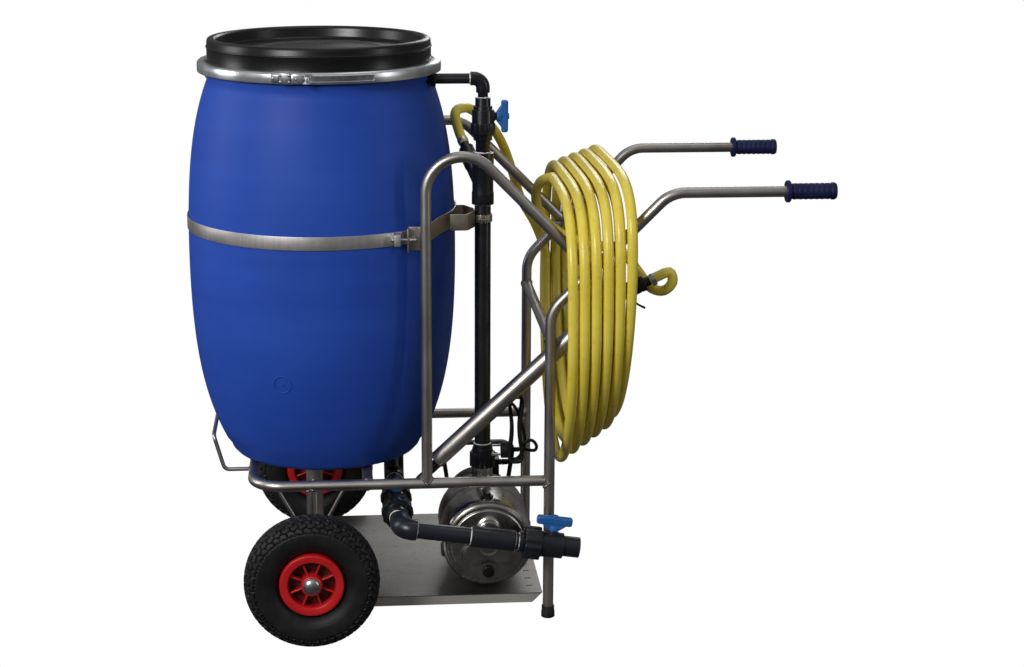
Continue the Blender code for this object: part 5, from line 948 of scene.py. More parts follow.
cover_skins = [
    grid(np.concatenate([front, back])),
    lathe(flange, pump_at, ALONG_Y, 120, True),
    lathe(port, (RISER_X, PUMP_FRONT_Y, PORT_Z), ALONG_Y, ease=0.0008),
]
piece("pump_front_pressed", cover_skins, steel_pump, "front_cover", sharp=40)
knob = mm((0, 0), (11.2, 0), (11.5, 0.8), (11.2, 3), (9.5, 3.6), (0, 3.6))
for node, at, way in (
    ("drain_plug", (RISER_X, PUMP_FRONT_Y - 0.0010, 0.095), -ALONG_Y),
    ("filler_plug", (RISER_X, FILLER_Y, PUMP_Z + PUMP_R + 0.0008), ALONG_Z),
):
    head = hexagon(at + way * 0.0032, at + way * 0.0082, 0.0125, 0.0008)
    knob_skins = [lathe(knob, at, way, 48, ease=0.0005), head]
    piece(f"{node}_knob", knob_skins, plug_black, node, sharp=28)

rotor = mm((0, 0), (60, 0), (60, 20), (14, 20), (14, 32), (6, 32), (6, 157), (0, 157))
rotor_skins = [lathe(rotor, (RISER_X, ROTOR_Y, PUMP_Z), ALONG_Y, ease=0.0010)]
for k in range(VANE_COUNT):
    sweep = np.linspace(0.0, 0.9, 14) + math.tau * k / VANE_COUNT
    rotor_skins.append(pipe(disc_points(np.linspace(0.016, 0.055, 14), sweep, ROTOR_Y - 0.0004), 0.0014, 10))
piece("pump_rotor_turned", rotor_skins, steel_pump, "pump_rotor", "pump_rotor")

# The motor: cooling fins along its case, a fan cowl with bars at its back, and its foot with four screws.
angle = np.linspace(0.0, math.tau, FIN_COUNT * 8, endpoint=False)
wave = (1 - np.clip(np.cos(angle * FIN_COUNT) * 2.2, -1, 1)) / 2
rows = mm((-39.7, 59, 0), (-38, 62, 0), (-26, 64, 0), (-24.5, 64, 3), (32, 64, 3), (33.5, 64, 0))
rows += mm((34.5, 63, 0))
along_y, full, cut = np.array(rows).T[:, :, None]
cowl = mm((0, 74.5), (64, 74.5), (65, 76), (65, 106), (60, 115), (53, 118.8), (0, 119.6))
motor_skins = [
    grid(disc_points(full - cut * wave, angle, along_y)),
    lathe(cowl, (RISER_X, MOTOR_START_Y, PUMP_Z), ALONG_Y, 96, ease=0.0015),
]
for k in range(-4, 5):
    half = math.sqrt(COWL_BAR_REACH**2 - (k * COWL_BAR_STEP) ** 2)
    start, end = ((RISER_X + way * half, MOTOR_END_Y - 0.0004, PUMP_Z + k * COWL_BAR_STEP) for way in (-1, 1))
    motor_skins.append(straight(start, end, 0.0016, 14, 0.0004))
motor_skins.append(box((0.160, 0.060, 0.006), (RISER_X, FOOT_Y, PLATE_TOP_Z + 0.0033), 0.002))
motor_skins.append(box((0.070, 0.040, 0.042), (RISER_X, FOOT_Y, PLATE_TOP_Z + 0.024), 0.003))
terminal = [
    box((0.050, 0.050, 0.026), (TERMINAL_X, TERMINAL_Y, 0.2240), 0.003),
    box((0.052, 0.052, 0.0120), (TERMINAL_X, TERMINAL_Y, 0.2438), 0.0025),
]
gland = mm((0, -14), (7.5, -14), (7.5, -8), (6.2, -7.5), (5.8, -1), (4.5, 0), (0, 0))
lid_screw = mm((0, 1.2), (1.6, 1), (2.4, 0), (0, 0))
for across, back in ((-1, -1), (-1, 1), (1, -1), (1, 1)):
    at = np.array([RISER_X + across * 0.066, FOOT_Y + back * 0.019, PLATE_TOP_Z + 0.0058])
    motor_skins.append(hexagon(at, at + ALONG_Z * 0.0045, 0.0100))
    at = (TERMINAL_X + across * 0.0205, TERMINAL_Y + back * 0.0205, 0.2492)
    terminal.append(lathe(lid_screw, at, ALONG_Z, 24))
terminal.append(lathe(gland, GLAND_AT, ALONG_X, 40, ease=0.0006))
piece("motor_finned", motor_skins, motor_black, "motor", sharp=40)
piece("terminal_box_moulded", terminal, plug_black, "terminal_box", sharp=40)

# The arch is a flat strip with round edges, wide along the motor's axis.
arch = [(RISER_X - 0.0625, ARCH_Y, PUMP_Z + 0.022), (RISER_X - 0.0765, ARCH_Y, ARCH_TOP_Z)]
arch += [(2 * RISER_X - x, y, z) for x, y, z in arch[::-1]]
arch_skin = pipe(rounded(arch, 0.0245), ARCH_HALF_T, 28, squash=ARCH_HALF_W / ARCH_HALF_T)
piece("carry_arch", [arch_skin], motor_black, "carry_handle")

# --- Suction line and valves ----------------------------------------------------------------------------
# Grey PVC pressure pipe: moulded sockets and unions on 32 mm pipe, joined with cement that dried as a thin
# white ring. The two ball valves are turned by blue T-handles.

SUCTION_X, SUCTION_Y, SUCTION_Z, SUCTION_END_X, SUCTION_ANGLE = 0.172, -0.290, 0.209, 0.4092, 8.0
SOCKET_R, BORE_R = 0.0205, 0.0125
OUTLET_X, OUTLET_Z, OUTLET_STEM_Y, DRAIN_X, DRAIN_STEM_X = 0.168, 0.207, -0.145, 0.4095, 0.4625


def grey_pvc(name, dark, light, gloss=0.26):
    """Grey PVC: moulded skin with faint flow marks, dull where it was handled, with lime from dried drips."""
    pvc = Finish(name, light, gloss, Specular_IOR_Level=0.45)
    flow = pvc.noise(13.0, 5, 0.6)
    lime = pvc.noise(52.0, 4, 0.75).above(0.63, 0.80)
    colour = pvc.mix(lime * 0.10, pvc.mix(flow.above(0.32, 0.72), dark, light), (0.30, 0.31, 0.33))
    return pvc.done(colour, gloss - 0.05 + flow * 0.16 + lime * 0.18, pvc.noise(500.0, 2), 0.00008, 0.3)


def blue_moulding(name):
    """Bright blue moulded plastic, glossy on the faces and rubbed paler on the ribs."""
    blue = Finish(name, (0.020, 0.135, 0.42), 0.30)
    cloud = blue.noise(24.0, 3, 0.5)
    rub = blue.noise(150.0, 3, 0.7).above(0.60, 0.76)
    base = blue.mix(cloud.above(0.3, 0.7), (0.015, 0.110, 0.36), (0.026, 0.155, 0.47))
    colour = blue.mix(rub * 0.3, base, (0.10, 0.24, 0.50))
    return blue.done(colour, 0.24 + cloud * 0.14 + rub * 0.18, blue.noise(380.0, 2), 0.00008, 0.3)


def distances(route):
    """How far along a line of points each of them lies."""
    return np.concatenate([[0.0], np.cumsum(np.linalg.norm(np.diff(route, axis=0), axis=1))])


def along(route, distance):
    """The points and directions at these distances along a line of points."""
    gone = distances(route)

    def at(distance):
        return np.stack([np.interp(distance, gone, route[:, i]) for i in range(3)], 1)

    near, far = np.clip(distance - 0.0008, 0, gone[-1]), np.clip(distance + 0.0008, 0, gone[-1])
    return at(distance), unit(at(far) - at(near))


def fitting(route, spans, across, sides=56, ease=0.0009, bore=0.0, lobes=()):
    """Moulded pipe: its radius steps from span to span, each (distance where it ends, radius), with every
    edge eased. Spans named in lobes are nuts, whose radius also follows 0.972 + 0.028 * a clipped cosine."""
    route = np.asarray(route, float)
    gone = distances(route)
    total = gone[-1]
    profile = [(bore, 0.0)]
    for end, radius in spans:
        profile += [(radius, profile[-1][1]), (radius, min(end, total))]
    radius, distance = eased([*profile, (bore, total)], ease, bool(bore), 30.0).T
    if not bore:
        # A row at each of the route's own bends as well, so that the skin follows them.
        bends = gone[(gone > 0.002) & (gone < total - 0.002)]
        at = np.searchsorted(distance, bends)
        radius = np.insert(radius, at, np.interp(bends, distance, radius))
        distance = np.insert(distance, at, bends)
    centre, way = along(route, np.clip(distance, 0.0, total))
    side = unit(np.cross(way, across))
    angle = np.linspace(0.0, math.tau, sides, endpoint=False)
    grip = np.ones((len(distance), sides))
    for low, high, count in lobes:
        nut = (distance > low - 1e-4) & (distance < high + 1e-4) & (radius > 0.8 * radius.max())
        grip[nut] = 0.972 + 0.028 * np.clip(2.2 * np.cos(angle * count), -1, 1)
    ring = circle(side, np.cross(side, way), sides)
    return grid(centre[:, None] + (radius[:, None] * grip)[..., None] * ring, bool(bore))


def cement(centre, way, radius, size):
    """The uneven ring of cement squeezed out of a joint: its thickness follows two sine waves."""
    way = unit(way)
    angle = np.linspace(0.0, math.tau, 90, endpoint=False)
    bead = size * (0.75 + 0.2 * np.sin(angle * 3 + radius * 900) + 0.18 * np.sin(angle * 7 + centre[2] * 70))
    return pipe(np.array(centre, float) + radius * circle(*square_to(way), 90), bead, 8, way, closed=True)


def suction_point(x):
    """The axis of the slanting pipe in front of the near leg."""
    return np.array([x, SUCTION_Y, SUCTION_Z - (x - SUCTION_X) * math.tan(math.radians(SUCTION_ANGLE))])


def slant_run(x):
    """The length of slanting pipe over this distance along x."""
    return x / math.cos(math.radians(SUCTION_ANGLE))


def t_handle(length, origin, turn, middle=0.0160, thick=0.0150):
    """A T-handle: a rounded blade on a wedge and a short skirt, with finger ribs across both ends and shallow
    grooves of half a cosine's depth between them."""
    blade = box((length, 0.0150, thick), (0, 0, middle), 0.0050, None, 8)
    points = blade["points"]
    rise = np.clip(1 - (points[..., 0] / (length / 2)) ** 2, 0, 1)
    points[..., 2] = middle + (points[..., 2] - middle) * (0.88 + 0.12 * rise)
    reach = np.abs(points[..., 0]) - 0.016
    groove = 0.0007 * (1 + np.cos(reach * math.tau / 0.0052)) / 2 * (reach > 0)
    points[..., 1] -= np.sign(points[..., 1]) * groove
    # Under the blade a wedge narrows from two thirds of its length to the hub.
    wedge = box((0.0230, 0.0125, 0.0120), (0, 0, 0.0070), 0.0022, None, 5)
    wedge["points"][..., 0] *= 1.0 + 1.05 * np.clip((wedge["points"][..., 2] - 0.0015) / 0.0095, 0, 1)
    ribs = [end * at for end in (-1, 1) for at in (0.0186, 0.0238, 0.0290, 0.0342) if at < length / 2 - 0.004]
    skins = [blade, wedge, *(box((0.0022, 0.0156, 0.55 * thick), (at, 0, middle)) for at in ribs)]
    skirt = mm((0, 0.3), (10.6, 0.3), (11, 1), (10.6, 7.2), (8.5, 9.8), (0, 10))
    hub = mm((0, 1.5), (5.2, 1.3), (6.2, 0.3), (6.6, -2), (0, -2))
    skins.append(lathe(skirt, (0, 0, 0), ALONG_Z, 48, ease=0.0006))
    skins.append(lathe(hub, (0, 0, middle + thick / 2), ALONG_Z, 40, ease=0.0004))
    for skin in skins:
        skin["points"] = skin["points"] @ np.asarray(turn, float).T + np.array(origin, float)
    return skins


pvc_grey = grey_pvc("pvc_grey", (0.011, 0.012, 0.018), (0.020, 0.022, 0.031))
pvc_dark = grey_pvc("pvc_dark", (0.0065, 0.007, 0.009), (0.013, 0.014, 0.018))
handle_blue = blue_moulding("handle_blue")

outlet_route = [(OUTLET_X, 0.050, 0.2912), (OUTLET_X, 0.050, OUTLET_Z), (OUTLET_X, 0.0, OUTLET_Z)]
outlet_spans = [(0.006, 0.026), (0.040, 0.0175), (0.1160, SOCKET_R), (1.0, PIPE_R)]
outlet_skin = fitting(rounded(outlet_route, 0.024), outlet_spans, ALONG_X)
piece("outlet_elbow", [outlet_skin], pvc_grey, "outlet_fitting")

valve_route = [(OUTLET_X, y, OUTLET_Z) for y in (-GAP, -0.12, -0.2437)]
valve_spans = mm((60, 16), (88, 22.5), (118, 31.5), (172, 25), (200, 31.5), (226, 21.5), (1000, 16))
stem = mm((0, 222), (13.5, 222), (13, 232.5), (9.2, 234), (9, 237), (0, 237))
valve_skins = [
    fitting(valve_route, valve_spans, ALONG_Z, 96, lobes=[(0.088, 0.118, 12), (0.172, 0.200, 12)]),
    lathe(stem, (OUTLET_X, OUTLET_STEM_Y, 0.0), ALONG_Z, 56, ease=0.0007),
]
piece("outlet_ball_valve", valve_skins, pvc_dark, "outlet_valve", sharp=40)
handle_skins = t_handle(0.080, (OUTLET_X, OUTLET_STEM_Y, 0.237), np.eye(3))
piece("outlet_t_handle", handle_skins, handle_blue, "outlet_handle", "outlet_handle")

suction_end = suction_point(SUCTION_END_X)
suction_route = rounded([(SUCTION_X, -0.244, SUCTION_Z), suction_point(SUCTION_X), suction_end], 0.024)
suction_total = distances(suction_route)[-1]
steps = [(0.202, SOCKET_R), (0.307, PIPE_R), (0.392, SOCKET_R), (0.3995, PIPE_R), (SUCTION_END_X, SOCKET_R)]
suction_spans = [(suction_total - slant_run(SUCTION_END_X - x), radius) for x, radius in steps]
branch = [(RISER_X, SUCTION_Y, PORT_Z), (RISER_X, -0.2503, PORT_Z)]
suction_skins = [
    fitting(suction_route, suction_spans, ALONG_Z),
    fitting(branch, [(0.0300, 0.0180), (1.0, 0.0197)], ALONG_Z),
]
piece("suction_pipe", suction_skins, pvc_grey, "suction_line")

drain_route = [suction_point(x) for x in (DRAIN_X, 0.46, 0.5176)]
drain_spans = [(slant_run(0.0315), 0.0325), (slant_run(0.0755), 0.025), (1.0, 0.020)]
lean = turned(SUCTION_ANGLE, ALONG_Y)
drain_up, drain_top = lean @ ALONG_Z, suction_point(DRAIN_STEM_X)
stem = mm((0, 14), (13.5, 14), (13, 25.5), (9.2, 27), (9, 30), (0, 30))
drain_skins = [
    fitting(drain_route, drain_spans, ALONG_Y, 96, bore=BORE_R, lobes=[(0.0, 0.0318, 12)]),
    lathe(stem, drain_top, drain_up, 56, ease=0.0007),
]
piece("drain_ball_valve", drain_skins, pvc_grey, "drain_valve", sharp=40)
handle_skins = t_handle(0.070, drain_top + drain_up * 0.0300, lean, 0.0195, 0.0195)
piece("drain_t_handle", handle_skins, handle_blue, "drain_handle", "drain_handle")

# --- Riser, wye and return ------------------------------------------------------------------------------
# A union on the pump's neck, the upright pipe, a wye whose branch feeds the hose, a ball valve above it and
# a thin pipe back into the drum's neck.

WYE_LOW_Z, WYE_HIGH_Z, RETURN_STEM_Z = 0.801, 0.903, 0.974
RETURN_LOW_Z, RETURN_Z, BUSH_X = 1.0108, 1.0475, 0.2475


def up_riser(*heights):
    """Points of the riser's axis at these heights."""
    return [np.array([RISER_X, RISER_Y, z]) for z in heights]


riser_spans = [(0.030, 0.026), (0.038, 0.021), (0.048, 0.019), (1.0, PIPE_R)]
riser_nut = [(0.0, 0.030, 10)]
riser = fitting(up_riser(0.2605, 0.5, 0.8007), riser_spans, ALONG_Y, 96, bore=BORE_R, lobes=riser_nut)
piece("riser_pipe", [riser], pvc_dark, "riser", sharp=40)

branch_way = unit([-0.030, 0.060, 0.067])
branch_start = up_riser(0.838)[0]
tail_end = branch_start + branch_way * 0.102
branch_spans = mm((48, 17), (70, 18.2), (72, 16.5), (92, 14.8), (1000, 9.8))
wye_spans = mm((24, 21.8), (78, 20.8), (1000, 21.8))
wye_skins = [
    fitting(up_riser(WYE_LOW_Z, 0.85, WYE_HIGH_Z), wye_spans, ALONG_Y, bore=BORE_R),
    fitting([branch_start, branch_start + branch_way * 0.05, tail_end], branch_spans, ALONG_X),
]
piece("wye_moulded", wye_skins, pvc_dark, "wye", sharp=40)

valve_spans = mm((24, 14), (36, 18.5), (58, 24), (84, 21.5), (91.5, 18.5), (1000, 15))
stem = mm((0, 10), (12.5, 10), (12.2, 22), (8.4, 23.5), (8, 26.5), (0, 26.5))
valve_skins = [
    fitting(up_riser(WYE_HIGH_Z + GAP, 0.95, 1.0105), valve_spans, ALONG_Y, 96, lobes=[(0.036, 0.058, 10)]),
    lathe(stem, (RISER_X, RISER_Y, RETURN_STEM_Z), ALONG_X, 56, ease=0.0006),
]
piece("return_ball_valve", valve_skins, pvc_dark, "return_valve", sharp=40)
handle_skins = t_handle(0.0635, (RISER_X + 0.0265, RISER_Y, RETURN_STEM_Z), turned(90.0, ALONG_Y))
piece("return_t_handle", handle_skins, handle_blue, "return_handle", "return_handle")

return_route = rounded([*up_riser(RETURN_LOW_Z, RETURN_Z), (0.218, RISER_Y, RETURN_Z)], 0.018)
return_skin = fitting(return_route, mm((9.5, 10), (53, 13.5), (1000, 10)), ALONG_Y)
piece("return_pipe_bent", [return_skin], pvc_dark, "return_pipe")
# Every cemented joint of the pipework: its place, direction, radius and thickness.
slant = suction_end - suction_point(SUCTION_X)
joints = [
    ((OUTLET_X, 0.0065, OUTLET_Z), ALONG_Y, 0.0164, 0.0016),
    ((OUTLET_X, -0.0605, OUTLET_Z), ALONG_Y, 0.0162, 0.0016),
    ((OUTLET_X, -0.2265, OUTLET_Z), ALONG_Y, 0.0162, 0.0016),
    *((suction_point(x), slant, 0.0163, 0.0016) for x in (0.2024, 0.3066, 0.3924, 0.3999)),
    ((SUCTION_X, -0.2445, SUCTION_Z), ALONG_Y, 0.0164, 0.0016),
    (up_riser(0.3088)[0], ALONG_Z, 0.0164, 0.0017),
    (up_riser(WYE_LOW_Z - 0.0004)[0], ALONG_Z, 0.0165, 0.0017),
    (up_riser(WYE_HIGH_Z + 0.0006)[0], ALONG_Z, 0.0146, 0.0018),
    (up_riser(1.0107)[0], ALONG_Z, 0.0104, 0.0017),
    ((RISER_X - 0.0252, RISER_Y, RETURN_Z), ALONG_X, 0.0102, 0.0016),
]
cement_white = Finish("cement_white", (0.80, 0.80, 0.79), 0.5)
crumbs = cement_white.noise(300.0, 3, 0.7)
white = cement_white.mix(crumbs.above(0.3, 0.7), (0.72, 0.72, 0.71), (0.92, 0.92, 0.91))
cement_skins = [cement(*joint) for joint in joints]
piece("pipe_cement_rings", cement_skins, cement_white.done(white, 0.5, crumbs, 0.0003, 0.6))

# The rubber bush where the return pipe goes through the drum's neck.
bush = mm((10.2, -6), (16.5, -5.5), (17, -1), (14, 0.5), (14, 4), (10.2, 4))
bush_skin = lathe(bush, (BUSH_X, RISER_Y, RETURN_Z), -ALONG_X, 48, True, 0.0008)
piece("return_bush", [bush_skin], foot_black)

# --- Holder, lance and gun ------------------------------------------------------------------------------
# A steel tube slung from the hoop to the leg takes the lance; the lance is a plastic tube with a cone
# nozzle, and the gun a moulded pistol with its trigger underneath.

HOLDER_X, HOLDER_Z, HOLDER_ANGLE, HOLDER_HOOP_Y, HOLDER_LEG_Y = 0.278, 0.350, 43.4, -0.20735, -0.21535
LANCE_START, LANCE_END = np.array([0.202, -0.20658, 0.27132]), np.array([0.606, -0.22016, 0.65336])
TRIGGER_PIN = np.array([0.62149, -0.22016, 0.63907])


def holder_point(x):
    """The holder tube's axis at this x: it rises at its angle and leans out from the hoop to the leg."""
    y = HOLDER_HOOP_Y + (x - HOOP_X) * (HOLDER_LEG_Y - HOLDER_HOOP_Y) / (LEG_X - HOOP_X)
    return np.array([x, y, HOLDER_Z + (x - HOLDER_X) * math.tan(math.radians(HOLDER_ANGLE))])


def worm_clamp(centre, way, radius, turn):
    """A worm-drive hose clamp: a band round the hose and a small housing with the screw's head."""
    side, over = square_to(way)
    out = math.cos(turn) * side + math.sin(turn) * over
    tangent = np.cross(way, out)
    seat = centre + out * (radius + 0.0030)
    screw = seat + tangent * 0.0055 + out * 0.0008
    strip = [(radius, -0.0045), (radius + 0.0007, -0.0045), (radius + 0.0007, 0.0045), (radius, 0.0045)]
    return [
        lathe(strip, centre, way, 72, True, 0.0003),
        box((0.0125, 0.0100, 0.0048), seat, 0.0012, np.stack([tangent, way, out], 1)),
        straight(screw, screw + tangent * 0.0045, 0.0031, 24, 0.0007),
    ]


holder_way, gun_way = rising(HOLDER_ANGLE), rising(25.0)
holder_line = [holder_point(x) for x in (0.2445, 0.40, 0.575)]
holder_skin = fitting(holder_line, [(1.0, 0.01685)], ALONG_Y, ease=0.0005, bore=0.01535)
piece("holder_tube_drawn", [holder_skin], steel_tube, "holder_tube")
holder_beads = []
for x in (HOOP_X + 0.018, LEG_X):
    for way in (-1, 1):
        middle = holder_point(x) + holder_way * way * 0.009 - ALONG_Y * 0.0148
        run = middle + np.linspace(-0.0085, 0.0085, 24)[:, None] * holder_way
        holder_beads.append(pipe(run, 0.0016 + 0.0003 * np.sin(np.arange(24) * 1.4), 10))
piece("holder_welds", holder_beads, steel_bead)

lance_line = [LANCE_START, (LANCE_START + LANCE_END) / 2, LANCE_END]
lance_spans = mm((5.5, 5.6), (11, 7), (27, 7.8), (30, 6.8), (40, 7.8), (1000, 9.9))
piece("lance_tube", [fitting(lance_line, lance_spans, ALONG_Y, 48, 0.0006)], pvc_dark, "lance")

gun_start = LANCE_END - gun_way * 0.012
gun_tail = gun_start + gun_way * 0.067
gun_spans = mm((4, 12.5), (12, 15), (14, 14), (44, 15.2), (46, 14.2), (56, 15.5), (1000, 9.8))
gun_skins = [
    fitting([gun_start, gun_start + gun_way * 0.03, gun_tail], gun_spans, ALONG_Y, 48),
    box((0.012, 0.0036, 0.020), TRIGGER_PIN + (0, 0.0063, 0.006), 0.0012, turned(-25.0, ALONG_Y)),
    straight(TRIGGER_PIN - ALONG_Y * 0.005, TRIGGER_PIN + ALONG_Y * 0.0063, 0.0019, 24, 0.0004),
]
piece("gun_pistol", gun_skins, plug_black, "gun")

lever_way, lever_down = rising(-35.0), rising(-125.0)
share = np.linspace(0.0, 1.0, 24)[:, None]
bow = 0.0010 * np.sin(share * math.pi) - 0.0012 * share**3
lever_line = TRIGGER_PIN + lever_way * 0.0315 * share + lever_down * bow
eye = mm((2.2, -3.8), (4, -3.8), (4, 3.8), (2.2, 3.8))
trigger_skins = [
    pipe(lever_line, 0.0019 + 0.0004 * share[:, 0] ** 2, 20, squash=1.75),
    lathe(eye, TRIGGER_PIN, ALONG_Y, 32, True, 0.0005),
]
piece("trigger_lever", trigger_skins, plug_black, "trigger", "trigger")

clamps = worm_clamp(tail_end + branch_way * 0.0070, branch_way, 0.0101, 0.9)
clamps += worm_clamp(gun_tail + gun_way * 0.0070, gun_way, 0.0101, 2.2)
piece("hose_clamps", clamps, zinc_bright)

# --- Hose -----------------------------------------------------------------------------------------------
# Yellow reinforced spray hose of 20 mm: from the wye over the far side, 9.75 turns in two layers hung on the
# handles, and across the inside of its coil to the gun.

HOSE_R, COIL_DROP, COIL_X, COIL_PITCH, COIL_HALF_W = 0.010, 0.068994, 0.509, 0.0221, 0.290
COIL_LAYER, COIL_LAYER_TOP, COIL_LAYER_BOTTOM = 0.0230, 0.0238, 0.0285
COIL_TURNS, COIL_INNER_TURNS, COIL_SHOULDER, CHORD_TURN = 9.75, 4, 3.8, 1 / 24
COIL_TOP_Z, COIL_TOP_SLOPE, COIL_BOTTOM_Z, COIL_BOTTOM_SLOPE = 0.818, 0.34, 0.300, 0.75


def coil_point(turns):
    """A point of the coil after this many turns: x steps towards the handles, climbs a layer in half a turn
    and steps back outside. Each turn is a super-ellipse, |across|^p / half^p + |down|^p / height^p = 1."""
    climbed = COIL_INNER_TURNS + 0.5
    rise = COIL_PITCH * (climbed - np.abs(turns - climbed))
    layer = np.clip((turns - COIL_INNER_TURNS) / 0.5, 0.0, 1.0)
    centre = side_line(COIL_X + rise)[1] - COIL_DROP
    top = COIL_TOP_Z + COIL_TOP_SLOPE * rise + layer * COIL_LAYER_TOP - centre
    bottom = centre - COIL_BOTTOM_Z - COIL_BOTTOM_SLOPE * rise + layer * COIL_LAYER_BOTTOM
    half = COIL_HALF_W + layer * COIL_LAYER
    across, down = np.cos(math.tau * turns), np.sin(math.tau * turns)
    height = np.where(down > 0, bottom, top)
    power = np.where(down > 0, 2.0, COIL_SHOULDER)
    reach = ((np.abs(across) / half) ** power + (np.abs(down) / height) ** power) ** (-1 / power)
    return np.stack([COIL_X + rise, reach * across, centre - reach * down], -1)


def smooth(points, spacing):
    """Evenly spaced points on a curve through these, made of cubic runs whose end directions weigh their two
    neighbours by the square roots of the distances to them. The first and last runs stay straight."""
    points = np.array(points, float)
    share = np.arange(16)[:, None] / 16
    fine = []
    for a, b, c, d in zip(points, points[1:], points[2:], points[3:]):
        ka, kb, kc = (np.linalg.norm(q - p) ** 0.5 for p, q in ((a, b), (b, c), (c, d)))
        into = ((b - a) / ka - (c - a) / (ka + kb) + (c - b) / kb) * kb
        out = ((c - b) / kb - (d - b) / (kb + kc) + (d - c) / kc) * kb
        ends = b * (2 * share**3 - 3 * share**2 + 1) + c * (3 * share**2 - 2 * share**3)
        fine.append(ends + into * (share**3 - 2 * share**2 + share) + out * (share**3 - share**2))
    fine = np.concatenate([*fine, points[-2:-1]])
    total = distances(fine)[-1]
    curve = along(fine, np.linspace(0.0, total, max(2, round(total / spacing)) + 1))[0]
    return np.concatenate([points[:1], curve, points[-1:]])


def free_cord(name, line, radius, finish, replaced, slot, **declared):
    """One open spline through these points, with a round bevel, in place of the parts it replaces."""
    line = line + ALONG_X * CART_X
    line = line[np.diff(distances(line), prepend=-1.0) > 1e-5]
    curve = bpy.data.curves.new(name, "CURVE")
    curve.dimensions = "3D"
    curve.bevel_depth = radius
    curve.bevel_resolution = 6
    curve.use_fill_caps = True
    spline = curve.splines.new("POLY")
    spline.points.add(len(line) - 1)
    spline.points.foreach_set("co", np.column_stack([line, np.ones(len(line))]).ravel())
    curve.materials.append(finish)
    made = bpy.data.objects.new(name, curve)
    scene.collection.objects.link(made)
    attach(made, "cart")
    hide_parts(*replaced)


def hose_yellow_pvc(name):
    """Pale yellow PVC hose: the darker braid shows faintly through it, with grime where it lies on others."""
    hose = Finish(name, (0.78, 0.62, 0.07), 0.34, Coat_Weight=0.15, Coat_Roughness=0.2)
    cloud = hose.noise(7.0, 4, 0.6)
    grime = hose.noise(48.0, 4, 0.7).above(0.55, 0.78)
    base = hose.mix(cloud.above(0.32, 0.7), (0.84, 0.66, 0.060), (0.94, 0.79, 0.120))
    colour = hose.mix(grime * 0.35, base, (0.24, 0.19, 0.06))
    return hose.done(colour, 0.28 + cloud * 0.14 + grime * 0.18, hose.noise(190.0, 2), 0.0002, 0.35)


# The lead and the end leave the coil along chords of 1/24 turn at its two ends.
coil = coil_point(np.arange(round(COIL_TURNS * 120) + 1) / 120)
into = unit(coil[0] - coil_point(CHORD_TURN))
out = unit(coil[-1] - coil_point(COIL_TURNS - CHORD_TURN))
lead_end, end_start, hose_stop = coil[0] + into * GAP, coil[-1] + out * GAP, gun_tail + gun_way * GAP
lead_route = [tail_end + branch_way * GAP, tail_end + branch_way * 0.0223, (0.297, 0.030, 0.966)]
lead_route += [(0.318, 0.066, 0.972), (0.342, 0.115, 0.957), (0.369, 0.170, 0.929), (0.393, 0.222, 0.899)]
lead_route += [(0.414, 0.262, 0.860), (0.433, 0.279, 0.808), (0.453, 0.281, 0.745), (0.484, 0.281, 0.690)]
lead_route += [lead_end + into * 0.020, lead_end]
end_route = [end_start, end_start + out * 0.022, (0.474, 0.085, 0.815), (0.470, 0.130, 0.775)]
end_route += [(0.482, 0.145, 0.735), (0.515, 0.130, 0.705), (0.560, 0.080, 0.692), (0.598, -0.020, 0.700)]
end_route += [(0.622, -0.110, 0.706), (0.640, -0.170, 0.684), (0.664, -0.196, 0.655), (0.687, -0.204, 0.652)]
end_route += [(0.702, -0.210, 0.670), (0.696, -0.213, 0.690), hose_stop + gun_way * 0.012, hose_stop]
hose_line = np.concatenate([smooth(lead_route, 0.006), coil, smooth(end_route, 0.006)])
hose_nodes = ("hose_lead", "hose_coil", "hose_end")
free_cord(
    "spray_hose", hose_line, HOSE_R, hose_yellow_pvc("hose_yellow"), hose_nodes, "hose_yellow",
    far_end="object", stiffness="medium", lay="coiled",
)

# --- Mains cable ----------------------------------------------------------------------------------------
# Black rubber cable from the motor's terminal box, wound into a hank of four loops behind the holder tube,
# with a moulded two-pin plug.

CABLE_R, PLUG_R = 0.00325, 0.0165
HANK_X, HANK_Y, HANK_TOP_Z, HANK_BOTTOM_Z = 0.402, -0.1965, 0.440, 0.306
HANK_HALF_W, HANK_WAIST, HANK_PITCH, HANK_TURNS = 0.0215, 0.0075, 0.0072, 4


def hank_point(turns):
    """A point of the hank: long upright loops side by side, all drawn in at the waist."""
    middle, half = (HANK_TOP_Z + HANK_BOTTOM_Z) / 2, (HANK_TOP_Z - HANK_BOTTOM_Z) / 2
    up, across = np.cos(math.tau * turns), np.sin(math.tau * turns)
    width = HANK_WAIST + (HANK_HALF_W - HANK_WAIST) * up * up
    x = width * np.sign(across) * np.abs(across) ** 0.55
    return np.stack([HANK_X + x, HANK_Y + HANK_PITCH * (HANK_TURNS - turns), middle + half * up], -1)


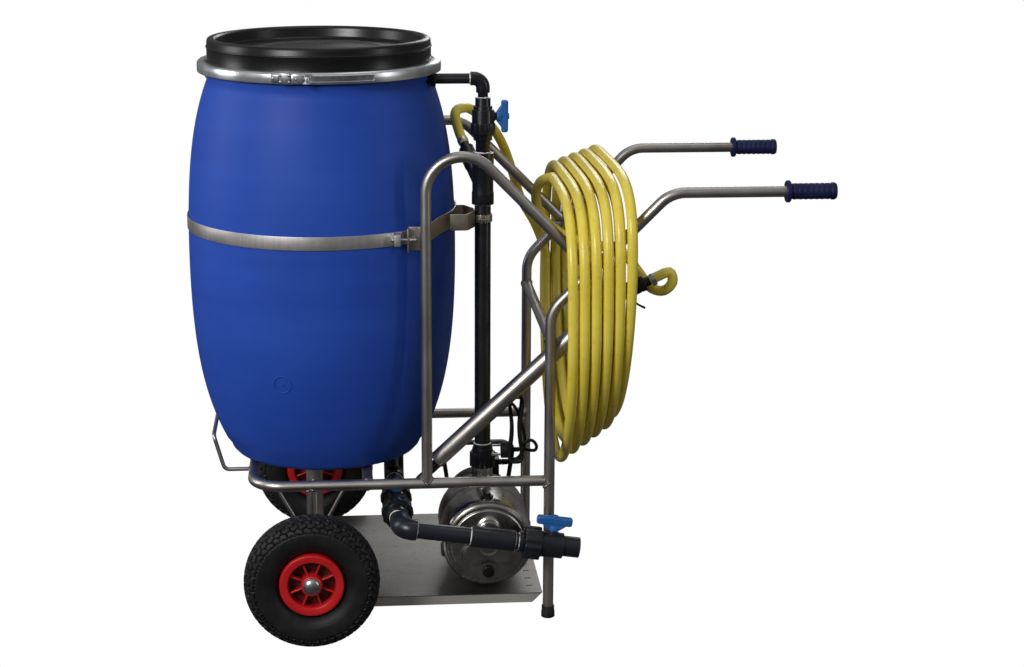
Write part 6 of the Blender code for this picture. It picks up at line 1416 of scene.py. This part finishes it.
hank = hank_point(np.arange(HANK_TURNS * 96 + 29) / 96)
into, out = unit(hank[0] - hank[1]), unit(hank[-1] - hank[-2])
cable_start, hank_start, loose_y = GLAND_AT + ALONG_X * GAP, hank[0] + into * GAP, hank[-1][1]
plug_at = np.array([0.412, HANK_Y + HANK_PITCH * (HANK_TURNS + 0.5) + PLUG_R, 0.318])
cable_route = [cable_start, cable_start + ALONG_X * 0.010, (0.424, 0.002, 0.252), (0.432, -0.060, 0.310)]
cable_route += [(0.408, -0.118, 0.395), (0.378, -0.152, 0.434), hank_start + into * 0.008, hank_start]
loose_route = [hank[-1], hank[-1] + out * 0.008, (0.432, loose_y + 0.002, 0.352)]
loose_route += [(0.443, loose_y + 0.012, 0.338), (0.441, loose_y + 0.030, 0.322)]
loose_route += [plug_at + ALONG_X * 0.0103, plug_at + ALONG_X * GAP]
lead_line = smooth(cable_route, 0.004)
cable_line = np.concatenate([lead_line, hank[:-1], smooth(loose_route, 0.004)])

plug_line = [plug_at, plug_at - ALONG_X * 0.018, plug_at - ALONG_X * 0.036]
plug_spans = mm((4, 5), (6.2, 4.2), (8.2, 5.4), (10.4, 4.6), (13, 10), (16.5, 14)) + [(1.0, PLUG_R)]
pin_skins = []
for way in (-1, 1):
    pin = plug_line[-1] + ALONG_Z * way * 0.0095
    pin_skins.append(straight(pin + ALONG_X * 0.004, pin - ALONG_X * 0.019, 0.0024, 28, 0.0009))
cable_black = soft_moulded("cable_black", (0.004, 0.004, 0.005), (0.010, 0.010, 0.011), 700.0)
plug_skins = [fitting(plug_line, plug_spans, ALONG_Y)]
plug = piece("mains_plug_moulded", plug_skins, cable_black, "mains_plug")
pins = piece("mains_plug_pins", pin_skins, zinc_bright)
free_cord(
    "mains_cable", cable_line, CABLE_R, cable_black, ("cable_lead", "cable_hank"), "cable_black",
    far_end="plug", stiffness="medium", lay="coiled", with_pieces=[plug, pins],
)
# The rubber sleeve that keeps the cable from kinking where it leaves the gland.
sleeve_line = along(lead_line, np.linspace(0.0, 0.026, 40))[0]
sleeve_r = np.linspace(0.0062, 0.0043, 40) + 0.0004 * (np.sin(np.linspace(0, 26, 40)) > 0)
piece("gland_sleeve", [pipe(sleeve_line, sleeve_r, 28, ALONG_Z)], cable_black)
